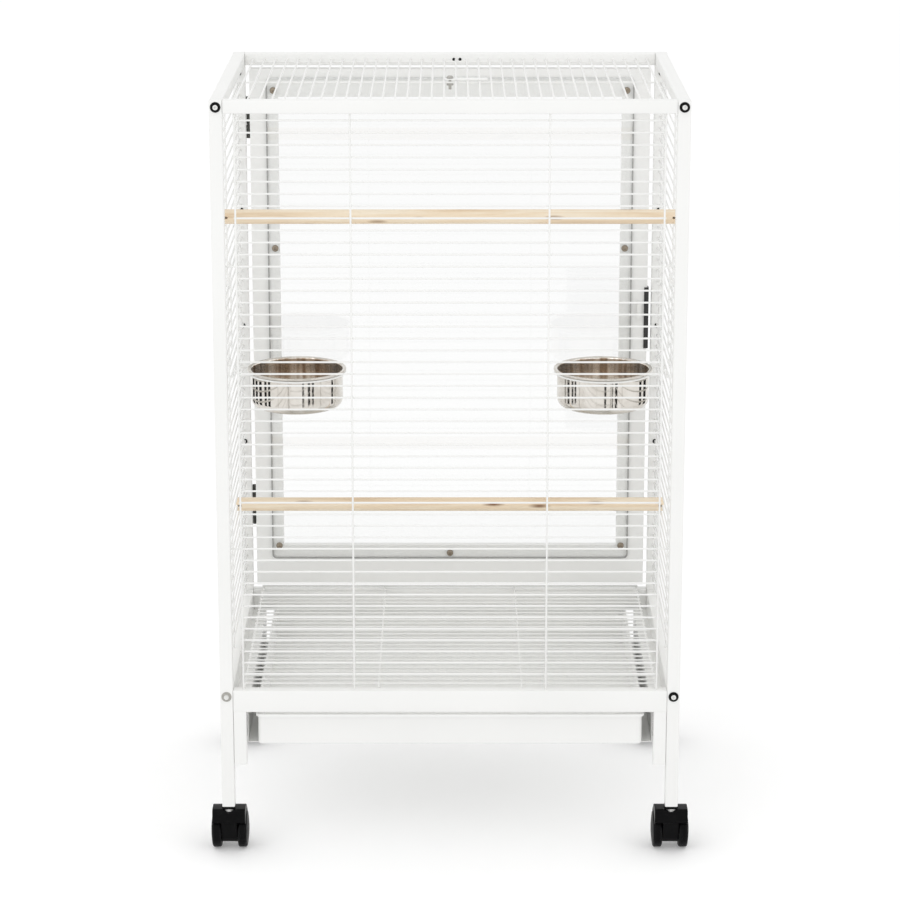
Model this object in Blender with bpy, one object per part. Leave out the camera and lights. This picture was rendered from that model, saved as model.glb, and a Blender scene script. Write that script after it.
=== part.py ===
"""Bird cage on casters.

A powder-coated cage of square tube and welded wire, on four swivelling twin-wheel
casters. The near side (-Y) is a fixed wire panel. The far side (+Y) is a framed door
with a clear acrylic sheet. Each side has a wire feeder door above a steel bowl that
hangs in a ring. A wire floor grille and a sheet tray slide out under the door.

Units are metres. X is the width, Y the depth, Z the height, and the floor is at Z = 0.
"""

import math

import bmesh
import bpy
from mathutils import Vector

# Overall sizes
WIDTH = 0.610
DEPTH = 0.457
CASTER_HEIGHT = 0.066
LEG_LENGTH = 0.134
BASE_RAIL_HEIGHT = 0.030
CAGE_OPENING_HEIGHT = 0.771

# Square tube of the frame
TUBE = 0.017
TUBE_WALL = 0.0012
TUBE_CORNER = 0.0016
CAP_THICKNESS = 0.003
STUB_LENGTH = 0.074

# Clearances
GAP = 0.0003
LAP = 0.0006

# Wire panels
WIRE_RADIUS = 0.00125
WIRE_PITCH = 0.01575
WIRE_CROSSING = 0.0017
WIRE_END = 0.0022
FIRST_WIRE_DROP = 0.0095
LAST_WIRE_CLEAR = 0.012
PANEL_BORDER = 0.0105
FRONT_SIDE_CLEAR = 0.014
FRONT_MIDDLE_X = 0.127
FRONT_HOOK_FROM_TOP = 12
FRONT_HOOK_FROM_BOTTOM = 11

# Feeder openings and their doors, counted in wires from the top
FEEDER_TOP_WIRE = 15
FEEDER_ROWS = 8
FEEDER_LENGTH = 0.237
FEEDER_FAR_CLEAR = 0.0157
FEEDER_DOOR_CLEAR = 0.0005
FEEDER_STILE_INSET = 0.0045
FEEDER_STILE_OVERLAP = 0.003
FEEDER_PULL = 0.010
COLLAR_RADIUS = 0.0034
COLLAR_BORE = 0.0017
COLLAR_HEIGHT = 0.008
COLLAR_LINK_RADIUS = 0.0007
COLLAR_LINK_START = 0.0025

# Bowls and their rings
BOWL_RADIUS = 0.0640
BOWL_HEIGHT = 0.054
BOWL_WALL = 0.0008
BOWL_BASE_ROUND = 0.012
BOWL_BEAD = 0.0018
BOWL_BEAD_OUT = 0.0032
BOWL_PANEL_GAP = 0.0067
BOWL_STEPS = 20
RING_WIRE = 0.0015
RING_CLEAR = 0.0015
RING_WIRE_LEVEL = 25
RING_ARM_SPREAD = 0.025
RING_ARM_BACKSET = 0.0035
RING_HOOK_DROP = 0.010

# Perches, each as the wire level it sits on and its place along the depth
PERCH_RADIUS = 0.0095
PERCH_OVERHANG = 0.0020
PERCH_KERF_DEPTH = 0.0080
PERCH_KERF_CLEAR = 0.00035
PERCHES = {"upper": (9, -0.126), "lower": (37, 0.045)}

# Floor grille
GRILLE_SIDE_CLEAR = 0.015
GRILLE_SUPPORT_X = 0.095
GRILLE_FRONT_REST = 0.005
GRILLE_REAR_INSET = 0.006
GRILLE_END_MARGIN = 0.004
GRILLE_PULL_ROWS = 2

# Tray and its runners
TRAY_HEIGHT = 0.043
TRAY_DROP = 0.004
TRAY_WALL = 0.0012
TRAY_LIP = 0.003
TRAY_LIP_HEIGHT = 0.004
TRAY_CORNER = 0.006
TRAY_SIDE_CLEAR = 0.0153
TRAY_END_INSET = 0.0065
RUNNER_SHEET = 0.0012
RUNNER_STUB_CLEAR = 0.0005
RUNNER_LEDGE = 0.0265
RUNNER_FLANGE = 0.010

# Door in the far side
DOOR_SIDE_GAP = 0.0057
DOOR_BOTTOM_GAP = 0.0075
DOOR_TOP_GAP = 0.0045
DOOR_STILE = 0.040
DOOR_BOTTOM_RAIL = 0.06055
DOOR_THICKNESS = 0.012
DOOR_SETBACK = 0.004
ACRYLIC_THICKNESS = 0.003
ACRYLIC_SIDE_INSET = 0.0231
ACRYLIC_BOTTOM_INSET = 0.0411
ACRYLIC_TOP_INSET = 0.0125
ACRYLIC_CORNER = 0.006

# Door hinges
HINGE_RADIUS = 0.0025
HINGE_TAB = (0.0006, 0.0018)
HINGE_PIN = 0.0012
HINGE_BORE = 0.0016
KNUCKLE_LENGTH = 0.0195
KNUCKLE_GAP = 0.0005
LOWER_HINGE_OFFSET = 0.0895
UPPER_HINGE_OFFSET = 0.0405

# Door latch
LATCH_PLATE_HEIGHT = 0.089
LATCH_PLATE_WIDTH = 0.0065
LATCH_PLATE_SHEET = 0.0015
LATCH_SPINDLE_INSET = 0.0118
LATCH_ABOVE_MIDDLE = 0.021
LATCH_SPINDLE = 0.003
LATCH_BORE = 0.0035
LATCH_TONGUE_LENGTH = 0.025
LATCH_TONGUE_WIDTH = 0.007
LATCH_TONGUE_THICKNESS = 0.002
LATCH_TONGUE_CLEAR = 0.0022
LATCH_LEVER_LENGTH = 0.042
LATCH_LEVER_WIDTH = 0.012
BLADE_TAPER = 0.1

# Bolts through the corner posts
BOLT_FLANGE = 0.0067
BOLT_FLANGE_THICKNESS = 0.0010
BOLT_HEAD = 0.0052
BOLT_HEAD_HEIGHT = 0.0032
BOLT_HEAD_FLAT = 0.0031
BOLT_HEAD_EDGE = 0.0016
BOLT_SHANK = 0.0025
BOLT_HOLE_CLEAR = 0.0006
BOLT_REACH = 0.012
BASE_BOLT_DROP = 0.008

# Hanger plate in the middle of the roof
PLATE_LENGTH = 0.056
PLATE_WIDTH = 0.014
PLATE_THICKNESS = 0.0015
PLATE_END = 0.006
PLATE_OFFSET_Y = 0.0055
PLATE_BOLT = 0.0020
PLATE_BOLT_HEAD = 0.0045
PLATE_BOLT_HEAD_FLAT = 0.0032
PLATE_BOLT_HEAD_HEIGHT = 0.0030
PLATE_BOLT_HEAD_EDGE = 0.0010
PLATE_BOLT_DROP = 0.0085

# Casters
CASTER_TRAIL = 0.018
WHEEL_RADIUS = 0.025
WHEEL_WIDTH = 0.0125
WHEEL_DOME = 0.0020
WHEEL_DOME_FLAT = 0.0110
WHEEL_SHOULDER = 0.0030
WHEEL_HALF_GAP = 0.0110
WHEEL_SIDES = 16
AXLE_RADIUS = 0.0030
AXLE_BORE = 0.0034
AXLE_SEAT = 0.0075
HOOD_CLEAR = 0.0008
HOOD_WALL = 0.0027
HOOD_HALF_WIDTH = 0.022
HOOD_WEB = 0.0103
HOOD_WEB_ARC = 0.0178
HOOD_REAR_ANGLE = 18
HOOD_SLOPE_ANGLE = 62
HOOD_CAVITY_ANGLE = 140
HOOD_CREST_DROP = 0.0018
HOOD_CREST = 0.010
HOOD_NOSE = 0.0112
HOOD_NOSE_ROUND = 0.0050
HOOD_FACE_LOW = 0.0440
HOOD_RETURN_LOW = 0.0400
HOOD_RETURN = 0.0035
NOTCH_RADIUS = 0.0080
NOTCH_DEPTH = 0.0039
NOTCH_LENGTH = 0.009
SWIVEL_RING = 0.0075
STEM_RADIUS = 0.0050
STEM_BORE = 0.0054
STEM_LENGTH = 0.022
SOCKET_CLEAR = 0.0002
SOCKET_DEPTH = 0.026
SOCKET_FLANGE = 0.0030
BRAKE_ANGLE = 48
BRAKE_PIVOT_INSET = 0.0052
BRAKE_HALF_WIDTH = 0.0055
BRAKE_POCKET_CLEAR = 0.0007
BRAKE_POCKET_ANGLES = (24, 74)
BRAKE_POCKET_DEPTH = 0.0110
BRAKE_POCKET_RISE = 0.0090
BRAKE_PIN = 0.0012
BRAKE_BORE = 0.0016
LEVER_HEEL = 0.0035
LEVER_LENGTH = 0.0150
LEVER_RISE = 0.0060
LEVER_THICKNESS = 0.0027

# Levels and planes worked out from the sizes above
LEG_LOW = CASTER_HEIGHT
BASE_LOW = LEG_LOW + LEG_LENGTH
BASE_TOP = BASE_LOW + BASE_RAIL_HEIGHT
ROOF_LOW = BASE_TOP + CAGE_OPENING_HEIGHT
ROOF_TOP = ROOF_LOW + TUBE
POST_X = WIDTH / 2 - TUBE / 2
POST_Y = DEPTH / 2 - TUBE / 2
INNER_X = WIDTH / 2 - TUBE
INNER_Y = DEPTH / 2 - TUBE
LATCH_LEVER_THICKNESS = BOLT_HEAD_HEIGHT + DOOR_SETBACK

X_AXIS = Vector((1, 0, 0))
Y_AXIS = Vector((0, 1, 0))
Z_AXIS = Vector((0, 0, 1))
PARALLEL = 0.999


def clear_scene():
    for obj in list(bpy.data.objects):
        bpy.data.objects.remove(obj, do_unlink=True)


def make_material(name, colour, roughness, metallic=0.0, transmission=0.0):
    material = bpy.data.materials.new(name)
    material.use_nodes = True
    shader = material.node_tree.nodes["Principled BSDF"]
    shader.inputs["Base Color"].default_value = (*colour, 1.0)
    shader.inputs["Roughness"].default_value = roughness
    shader.inputs["Metallic"].default_value = metallic
    shader.inputs["Transmission Weight"].default_value = transmission
    return material


def world_place(obj):
    """Where an object stands whose parents are moved but never turned."""
    place = Vector(obj.location)
    while obj.parent:
        obj = obj.parent
        place += obj.location
    return place


def make_object(name, mesh_data, material=None, origin=(0, 0, 0), parent=None, smooth=0):
    """Turns a bmesh in world coordinates into an object whose origin is at `origin`."""
    bmesh.ops.recalc_face_normals(mesh_data, faces=mesh_data.faces)
    bmesh.ops.translate(mesh_data, verts=mesh_data.verts, vec=-Vector(origin))
    mesh = bpy.data.meshes.new(name)
    mesh_data.to_mesh(mesh)
    mesh_data.free()
    if material:
        mesh.materials.append(material)
    if smooth:
        mesh.shade_smooth()
        mesh.set_sharp_from_angle(angle=math.radians(smooth))
    obj = bpy.data.objects.new(name, mesh)
    obj.location = origin
    bpy.context.scene.collection.objects.link(obj)
    if parent:
        obj.parent = parent
        obj.location = Vector(origin) - world_place(parent)
    return obj


def make_empty(name, location, parent=None):
    empty = bpy.data.objects.new(name, None)
    empty.empty_display_size = 0.03
    empty.location = location
    bpy.context.scene.collection.objects.link(empty)
    if parent:
        empty.parent = parent
        empty.location = Vector(location) - world_place(parent)
    return empty


def combine(obj, helper_data, operation):
    """Joins a second bmesh to the object, or cuts it away, with a Boolean modifier."""
    helper = make_object(f"{obj.name}_{operation.lower()}_{len(obj.modifiers)}", helper_data)
    helper.hide_render = True
    helper.display_type = "WIRE"
    modifier = obj.modifiers.new(operation.title(), "BOOLEAN")
    modifier.operation = operation
    modifier.object = helper
    modifier.solver = "EXACT"


def add_box(shape, low, high):
    corners = [
        shape.verts.new((x, y, z))
        for z in (low[2], high[2])
        for y in (low[1], high[1])
        for x in (low[0], high[0])
    ]
    for face in ((0, 1, 3, 2), (4, 5, 7, 6), (0, 1, 5, 4), (2, 3, 7, 6), (0, 2, 6, 4), (1, 3, 7, 5)):
        shape.faces.new([corners[i] for i in face])


def add_loft(shape, loops):
    """Joins loops of equal length in order and closes both ends."""
    rings = [[shape.verts.new(point) for point in loop] for loop in loops]
    count = len(rings[0])
    for lower, upper in zip(rings, rings[1:]):
        for i in range(count):
            j = (i + 1) % count
            shape.faces.new((lower[i], lower[j], upper[j], upper[i]))
    shape.faces.new(rings[0])
    shape.faces.new(rings[-1])


def add_prism(shape, outline, axis, low, high):
    """Extrudes an outline of two coordinates along the axis 0, 1 or 2."""
    loops = []
    for level in (low, high):
        loop = []
        for first, second in outline:
            point = [first, second]
            point.insert(axis, level)
            loop.append(point)
        loops.append(loop)
    add_loft(shape, loops)


def around(axis, first):
    """Two unit vectors square to the axis, the first one as near `first` as can be."""
    if abs(axis.dot(first)) > PARALLEL:
        first = X_AXIS
    across = (first - axis * first.dot(axis)).normalized()
    return across, axis.cross(across)


def add_rod(shape, start, end, radius, sides=4, first=Z_AXIS):
    start = Vector(start)
    end = Vector(end)
    across, up = around((end - start).normalized(), first)
    loops = []
    for centre in (start, end):
        loops.append([
            centre + (across * math.cos(turn) + up * math.sin(turn)) * radius
            for turn in (2 * math.pi * i / sides for i in range(sides))
        ])
    add_loft(shape, loops)


def add_bent_rod(shape, points, radius, sides=4, first=Y_AXIS):
    """A rod along a bent line in one plane, square to `first`, mitred at its bends."""
    points = [Vector(point) for point in points]
    loops = []
    for i, centre in enumerate(points):
        before = (centre - points[i - 1]).normalized() if i else None
        after = (points[i + 1] - centre).normalized() if i + 1 < len(points) else None
        along = ((before or after) + (after or before)).normalized()
        across, up = around(along, first)
        stretch = 1 / along.dot(after or before)
        loops.append([
            centre + (across * math.cos(turn) + up * math.sin(turn) * stretch) * radius
            for turn in (2 * math.pi * i / sides for i in range(sides))
        ])
    add_loft(shape, loops)


def add_ring(shape, centre, radius, wire, steps, sides=4):
    """A closed ring of wire in the horizontal plane."""
    rings = []
    for i in range(steps):
        turn = 2 * math.pi * i / steps
        out = Vector((math.cos(turn), math.sin(turn), 0))
        ring = []
        for k in range(sides):
            bend = 2 * math.pi * k / sides
            offset = out * (radius + wire * math.cos(bend)) + Z_AXIS * wire * math.sin(bend)
            ring.append(shape.verts.new(Vector(centre) + offset))
        rings.append(ring)
    for i in range(steps):
        for k in range(sides):
            n = (k + 1) % sides
            after = rings[(i + 1) % steps]
            shape.faces.new((rings[i][k], rings[i][n], after[n], after[k]))


def add_turned(shape, profile, centre, axis, steps, first=Z_AXIS, half_step=False):
    """Turns a profile of (radius, place along the axis) round the axis. Its ends lie on it."""
    centre = Vector(centre)
    across, up = around(axis, first)
    start = shape.verts.new(centre + axis * profile[0][1])
    finish = shape.verts.new(centre + axis * profile[-1][1])
    rings = []
    for radius, place in profile[1:-1]:
        ring = []
        for i in range(steps):
            turn = 2 * math.pi * (i + half_step / 2) / steps
            ring.append(shape.verts.new(
                centre + axis * place + (across * math.cos(turn) + up * math.sin(turn)) * radius
            ))
        rings.append(ring)
    for i in range(steps):
        j = (i + 1) % steps
        shape.faces.new((start, rings[0][i], rings[0][j]))
        shape.faces.new((finish, rings[-1][j], rings[-1][i]))
        for lower, upper in zip(rings, rings[1:]):
            shape.faces.new((lower[i], upper[i], upper[j], lower[j]))


def add_pipe(shape, centre, axis, low, high, outer, inner, sides, first=Z_AXIS):
    """A round pipe open at both ends."""
    centre = Vector(centre)
    across, up = around(axis, first)
    rings = []
    for radius, place in ((outer, low), (outer, high), (inner, high), (inner, low)):
        rings.append([
            shape.verts.new(
                centre + axis * place + (across * math.cos(turn) + up * math.sin(turn)) * radius
            )
            for turn in (2 * math.pi * (i + 0.5) / sides for i in range(sides))
        ])
    for a, b in zip(rings, rings[1:] + rings[:1]):
        for i in range(sides):
            j = (i + 1) % sides
            shape.faces.new((a[i], a[j], b[j], b[i]))


def tube_outline(width, height, corner=TUBE_CORNER):
    """A rectangle with its corners cut off."""
    w = width / 2
    h = height / 2
    return [
        (-w + corner, -h), (w - corner, -h), (w, -h + corner), (w, h - corner),
        (w - corner, h), (-w + corner, h), (-w, h - corner), (-w, -h + corner),
    ]


def arc_points(centre, radius, start, finish, steps):
    """Points of two coordinates along an arc between two angles in degrees."""
    points = []
    for i in range(steps + 1):
        turn = math.radians(start + (finish - start) * i / steps)
        points.append((centre[0] + radius * math.cos(turn), centre[1] + radius * math.sin(turn)))
    return points


def rounded_rectangle(half_x, half_y, radius, z, steps=3):
    points = []
    for cx, cy, start in ((1, 1, 0), (-1, 1, 90), (-1, -1, 180), (1, -1, 270)):
        centre = (cx * (half_x - radius), cy * (half_y - radius))
        points += arc_points(centre, radius, start, start + 90, steps)
    return [(x, y, z) for x, y in points]


def add_square_tube(shape, centre, axis, length, width, height):
    """A tube open at both ends. Width and height are its two sides in axis order."""
    outer = tube_outline(width, height)
    inner = tube_outline(width - 2 * TUBE_WALL, height - 2 * TUBE_WALL, TUBE_CORNER - TUBE_WALL / 2)
    rings = []
    for outline, place in ((outer, -1), (outer, 1), (inner, 1), (inner, -1)):
        ring = []
        for first, second in outline:
            point = [first, second]
            point.insert(axis, place * length / 2)
            ring.append(shape.verts.new(Vector(centre) + Vector(point)))
        rings.append(ring)
    for a, b in zip(rings, rings[1:] + rings[:1]):
        for i in range(len(a)):
            j = (i + 1) % len(a)
            shape.faces.new((a[i], a[j], b[j], b[i]))


def corner_names():
    """Each corner's name with the signs of its X and Y."""
    return {
        "front_left": (-1, -1),
        "front_right": (1, -1),
        "rear_left": (-1, 1),
        "rear_right": (1, 1),
    }


def wire_levels():
    """Heights of the panels' horizontal wires, from the top."""
    top = ROOF_LOW - FIRST_WIRE_DROP
    count = int((top - BASE_TOP - LAST_WIRE_CLEAR) / WIRE_PITCH) + 1
    return [top - WIRE_PITCH * i for i in range(count)]


def bolt_levels():
    return {"top": ROOF_TOP - TUBE / 2, "base": BASE_TOP - BASE_BOLT_DROP}


def make_posts(paint, root):
    for corner, (side, end) in corner_names().items():
        shape = bmesh.new()
        outline = [(side * POST_X + u, end * POST_Y + v) for u, v in tube_outline(TUBE, TUBE)]
        add_prism(shape, outline, 2, LEG_LOW, ROOF_TOP)
        origin = (side * POST_X, end * POST_Y, LEG_LOW)
        post = make_object(f"post_{corner}", shape, paint, origin, root)
        bore = bmesh.new()
        half = TUBE / 2 - TUBE_WALL
        add_box(
            bore,
            (origin[0] - half, origin[1] - half, LEG_LOW - TUBE),
            (origin[0] + half, origin[1] + half, ROOF_TOP - CAP_THICKNESS),
        )
        combine(post, bore, "DIFFERENCE")
        if end > 0:
            continue
        holes = bmesh.new()
        for level in bolt_levels().values():
            start = (origin[0], origin[1] - TUBE, level)
            finish = (origin[0], origin[1] + TUBE, level)
            add_rod(holes, start, finish, BOLT_SHANK + BOLT_HOLE_CLEAR, 8)
        combine(post, holes, "DIFFERENCE")


def make_bolts(steel, root):
    """A flanged button-head bolt through each front post into the end of the side rail."""
    for corner, (side, end) in corner_names().items():
        if end > 0:
            continue
        for place, level in bolt_levels().items():
            origin = Vector((side * POST_X, end * (DEPTH / 2 + GAP), level))
            profile = (
                (0, BOLT_HEAD_HEIGHT),
                (BOLT_HEAD_FLAT, BOLT_HEAD_HEIGHT),
                (BOLT_HEAD, BOLT_HEAD_EDGE),
                (BOLT_FLANGE, BOLT_FLANGE_THICKNESS),
                (BOLT_FLANGE, 0),
                (BOLT_SHANK, 0),
                (BOLT_SHANK, -TUBE - BOLT_REACH),
                (0, -TUBE - BOLT_REACH),
            )
            shape = bmesh.new()
            add_turned(shape, profile, origin, Y_AXIS * end, 10)
            make_object(f"bolt_{corner}_{place}", shape, steel, origin, root, smooth=40)


def make_top_rails(paint, root):
    level = ROOF_TOP - TUBE / 2
    for name, end in (("front", -1), ("rear", 1)):
        shape = bmesh.new()
        origin = (0, end * POST_Y, level)
        add_square_tube(shape, origin, 0, 2 * (INNER_X - GAP), TUBE, TUBE)
        make_object(f"top_rail_{name}", shape, paint, origin, root)
    for name, side in (("left", -1), ("right", 1)):
        shape = bmesh.new()
        origin = (side * POST_X, 0, level)
        add_square_tube(shape, origin, 1, 2 * (INNER_Y - GAP), TUBE, TUBE)
        make_object(f"top_rail_{name}", shape, paint, origin, root)


def make_base_end_rails(paint, root):
    """The rails of the near and far side, each with a stub tube beside both legs."""
    level = BASE_TOP - BASE_RAIL_HEIGHT / 2
    for name, end in (("front", -1), ("rear", 1)):
        shape = bmesh.new()
        origin = (0, end * POST_Y, level)
        add_square_tube(shape, origin, 0, 2 * (INNER_X - GAP), TUBE, BASE_RAIL_HEIGHT)
        rail = make_object(f"base_rail_{name}", shape, paint, origin, root)
        stubs = bmesh.new()
        bores = bmesh.new()
        bore = TUBE / 2 - TUBE_WALL
        for side in (-1, 1):
            centre_x = side * (INNER_X - GAP - TUBE / 2)
            outline = [(centre_x + u, end * POST_Y + v) for u, v in tube_outline(TUBE, TUBE)]
            add_prism(stubs, outline, 2, BASE_LOW - STUB_LENGTH, BASE_LOW + LAP)
            add_box(
                bores,
                (centre_x - bore, end * POST_Y - bore, BASE_LOW - STUB_LENGTH - TUBE),
                (centre_x + bore, end * POST_Y + bore, BASE_LOW - LAP),
            )
        combine(rail, stubs, "UNION")
        combine(rail, bores, "DIFFERENCE")


def tray_low():
    return BASE_LOW - TRAY_DROP - TRAY_HEIGHT


def runner_outline(side):
    """Z-shaped sheet under a side rail: a flange, a web and the ledge the tray slides on."""
    web = INNER_X - TUBE - RUNNER_STUB_CLEAR
    top = BASE_LOW + LAP
    ledge = tray_low() - GAP - RUNNER_SHEET
    points = [
        (INNER_X + RUNNER_FLANGE, top),
        (INNER_X + RUNNER_FLANGE, top - RUNNER_SHEET),
        (web, top - RUNNER_SHEET),
        (web, ledge),
        (web - RUNNER_LEDGE, ledge),
        (web - RUNNER_LEDGE, ledge + RUNNER_SHEET),
        (web - RUNNER_SHEET, ledge + RUNNER_SHEET),
        (web - RUNNER_SHEET, top),
    ]
    return [(side * x, z) for x, z in points]


def make_base_side_rails(paint, root):
    """The rails of the left and right side, each with a welded tray runner below it."""
    level = BASE_TOP - BASE_RAIL_HEIGHT / 2
    for name, side in (("left", -1), ("right", 1)):
        shape = bmesh.new()
        origin = (side * POST_X, 0, level)
        add_square_tube(shape, origin, 1, 2 * (INNER_Y - GAP), TUBE, BASE_RAIL_HEIGHT)
        rail = make_object(f"base_rail_{name}", shape, paint, origin, root)
        runner = bmesh.new()
        reach = INNER_Y - 2 * GAP
        add_prism(runner, runner_outline(side), 1, -reach, reach)
        combine(rail, runner, "UNION")


def make_wire_panel(name, long_wires, cross_wires, ridge, paint, origin, parent):
    """Welded wires: each wire is (start, end), and `ridge` is square to the panel."""
    shape = bmesh.new()
    for start, end in long_wires:
        add_rod(shape, start, end, WIRE_RADIUS, first=ridge)
    panel = make_object(name, shape, paint, origin, parent)
    crosses = bmesh.new()
    for start, end in cross_wires:
        add_rod(crosses, start, end, WIRE_RADIUS, first=ridge)
    combine(panel, crosses, "UNION")
    return panel


def make_front_panel(paint, root):
    levels = wire_levels()
    half = INNER_X - FRONT_SIDE_CLEAR
    hooks = (FRONT_HOOK_FROM_TOP, len(levels) - 1 - FRONT_HOOK_FROM_BOTTOM)
    long_wires = []
    for i, z in enumerate(levels):
        reach = INNER_X - GAP if i in hooks else half + WIRE_END
        long_wires.append(((-reach, -POST_Y, z), (reach, -POST_Y, z)))
    cross_y = -POST_Y - WIRE_CROSSING
    cross_wires = [
        ((x, cross_y, BASE_TOP + GAP), (x, cross_y, ROOF_LOW - GAP))
        for x in (-half, -FRONT_MIDDLE_X, FRONT_MIDDLE_X, half)
    ]
    origin = (0, -POST_Y, (BASE_TOP + ROOF_LOW) / 2)
    make_wire_panel("front_panel", long_wires, cross_wires, Y_AXIS, paint, origin, root)


def feeder_far_y():
    return INNER_Y - PANEL_BORDER - FEEDER_FAR_CLEAR


def feeder_near_y():
    return feeder_far_y() - FEEDER_LENGTH


def make_side_panel(name, side, paint, root):
    """Front-to-back wires, left out where the feeder opening is."""
    x = side * POST_X
    reach = INNER_Y - GAP
    near = feeder_near_y()
    far = feeder_far_y()
    long_wires = []
    for i, z in enumerate(wire_levels()):
        if FEEDER_TOP_WIRE < i < FEEDER_TOP_WIRE + FEEDER_ROWS:
            long_wires.append(((x, -reach, z), (x, near + WIRE_END, z)))
            long_wires.append(((x, far - WIRE_END, z), (x, reach, z)))
        else:
            long_wires.append(((x, -reach, z), (x, reach, z)))
    cross_x = x + side * WIRE_CROSSING
    border = INNER_Y - PANEL_BORDER
    cross_wires = [
        ((cross_x, y, BASE_TOP + GAP), (cross_x, y, ROOF_LOW - GAP))
        for y in (-border, near, far, border)
    ]
    origin = (x, 0, (BASE_TOP + ROOF_LOW) / 2)
    make_wire_panel(name, long_wires, cross_wires, X_AXIS, paint, origin, root)


def roof_wire_places():
    """Places of the roof's long wires along the width."""
    count = int((2 * INNER_X - 2 * PANEL_BORDER) / WIRE_PITCH) + 1
    return [(i - (count - 1) / 2) * WIRE_PITCH for i in range(count)]


def make_roof_panel(paint, root):
    z = ROOF_TOP - TUBE / 2
    reach = INNER_Y - GAP
    places = roof_wire_places()
    long_wires = [((x, -reach, z), (x, reach, z)) for x in places]
    cross_reach = places[-1] + WIRE_END
    cross_z = z - WIRE_CROSSING
    border = INNER_Y - PANEL_BORDER
    cross_wires = [((-cross_reach, y, cross_z), (cross_reach, y, cross_z)) for y in (-border, 0, border)]
    make_wire_panel("roof_panel", long_wires, cross_wires, Z_AXIS, paint, (0, 0, z), root)


def make_roof_plate(paint, steel, root):
    """A strap on top of the roof wires. Its bolt goes down midway between two of them."""
    places = roof_wire_places()
    middle = len(places) // 2
    bolt_x = (places[middle - 1] + places[middle]) / 2
    low = ROOF_TOP - TUBE / 2 + WIRE_RADIUS + GAP
    shape = bmesh.new()
    outline = [(PLATE_LENGTH - PLATE_END, PLATE_WIDTH / 2), (PLATE_LENGTH - PLATE_END, -PLATE_WIDTH / 2)]
    outline += arc_points((0, 0), PLATE_WIDTH / 2, 270, 90, 6)
    outline = [(x + bolt_x, y + PLATE_OFFSET_Y) for x, y in outline]
    add_prism(shape, outline, 2, low, low + PLATE_THICKNESS)
    origin = Vector((bolt_x, PLATE_OFFSET_Y, low))
    plate = make_object("roof_plate", shape, paint, origin, root)
    hole = bmesh.new()
    add_rod(hole, origin - Z_AXIS * TUBE, origin + Z_AXIS * TUBE, PLATE_BOLT + GAP, 8, X_AXIS)
    combine(plate, hole, "DIFFERENCE")
    top = low + PLATE_THICKNESS + GAP
    nut = ROOF_TOP - TUBE / 2 - WIRE_RADIUS - WIRE_CROSSING - GAP
    bolt = bmesh.new()
    profile = (
        (0, top + PLATE_BOLT_HEAD_HEIGHT),
        (PLATE_BOLT_HEAD_FLAT, top + PLATE_BOLT_HEAD_HEIGHT),
        (PLATE_BOLT_HEAD, top + PLATE_BOLT_HEAD_EDGE),
        (PLATE_BOLT_HEAD, top),
        (PLATE_BOLT, top),
        (PLATE_BOLT, nut),
        (PLATE_BOLT_HEAD, nut),
        (PLATE_BOLT_HEAD, nut - PLATE_BOLT_HEAD_HEIGHT),
        (PLATE_BOLT, nut - PLATE_BOLT_HEAD_HEIGHT),
        (PLATE_BOLT, nut - PLATE_BOLT_DROP),
        (0, nut - PLATE_BOLT_DROP),
    )
    add_turned(bolt, profile, (bolt_x, PLATE_OFFSET_Y, 0), Z_AXIS, 8, X_AXIS)
    make_object("roof_bolt", bolt, steel, origin, root, smooth=40)


def make_floor_grille(paint, root):
    """Side-to-side wires over front-to-back bearers, with a hand gap at the far end."""
    near = -(INNER_Y + GRILLE_FRONT_REST)
    far = DEPTH / 2 - GRILLE_REAR_INSET
    half = INNER_X - GRILLE_SIDE_CLEAR
    low = BASE_TOP + GAP + WIRE_RADIUS
    top = low + WIRE_CROSSING
    bearers = [
        ((x, near, low), (x, far, low)) for x in (-half, -GRILLE_SUPPORT_X, GRILLE_SUPPORT_X, half)
    ]
    reach = half + WIRE_END
    wires = []
    count = int((far - near - 2 * GRILLE_END_MARGIN) / WIRE_PITCH) + 1
    for row in range(count):
        y = far - GRILLE_END_MARGIN - row * WIRE_PITCH
        if 0 < row <= GRILLE_PULL_ROWS:
            for side in (-1, 1):
                inner = side * (GRILLE_SUPPORT_X - WIRE_END)
                wires.append(((inner, y, top), (side * reach, y, top)))
        else:
            wires.append(((-reach, y, top), (reach, y, top)))
    slide = make_empty("grille_slide", (0, 0, low), root)
    make_wire_panel("floor_grille", wires, bearers, Z_AXIS, paint, (0, 0, low), slide)


def make_tray(paint, root):
    half_x = INNER_X - TUBE - TRAY_SIDE_CLEAR
    half_y = DEPTH / 2 - TRAY_END_INSET
    low = tray_low()
    top = low + TRAY_HEIGHT
    lip = top - TRAY_LIP_HEIGHT
    steps = (
        (-TRAY_WALL, low, TRAY_CORNER - TRAY_WALL),
        (0, low + TRAY_WALL, TRAY_CORNER),
        (0, lip, TRAY_CORNER),
        (TRAY_LIP, lip + TRAY_WALL, TRAY_CORNER + TRAY_LIP),
        (TRAY_LIP, top, TRAY_CORNER + TRAY_LIP),
        (-TRAY_WALL, top, TRAY_CORNER - TRAY_WALL),
        (-TRAY_WALL, low + TRAY_WALL, TRAY_CORNER - TRAY_WALL),
    )
    shape = bmesh.new()
    add_loft(shape, [rounded_rectangle(half_x + out, half_y + out, round_, z) for out, z, round_ in steps])
    slide = make_empty("tray_slide", (0, 0, low), root)
    make_object("tray", shape, paint, (0, 0, low), slide, smooth=30)


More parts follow.
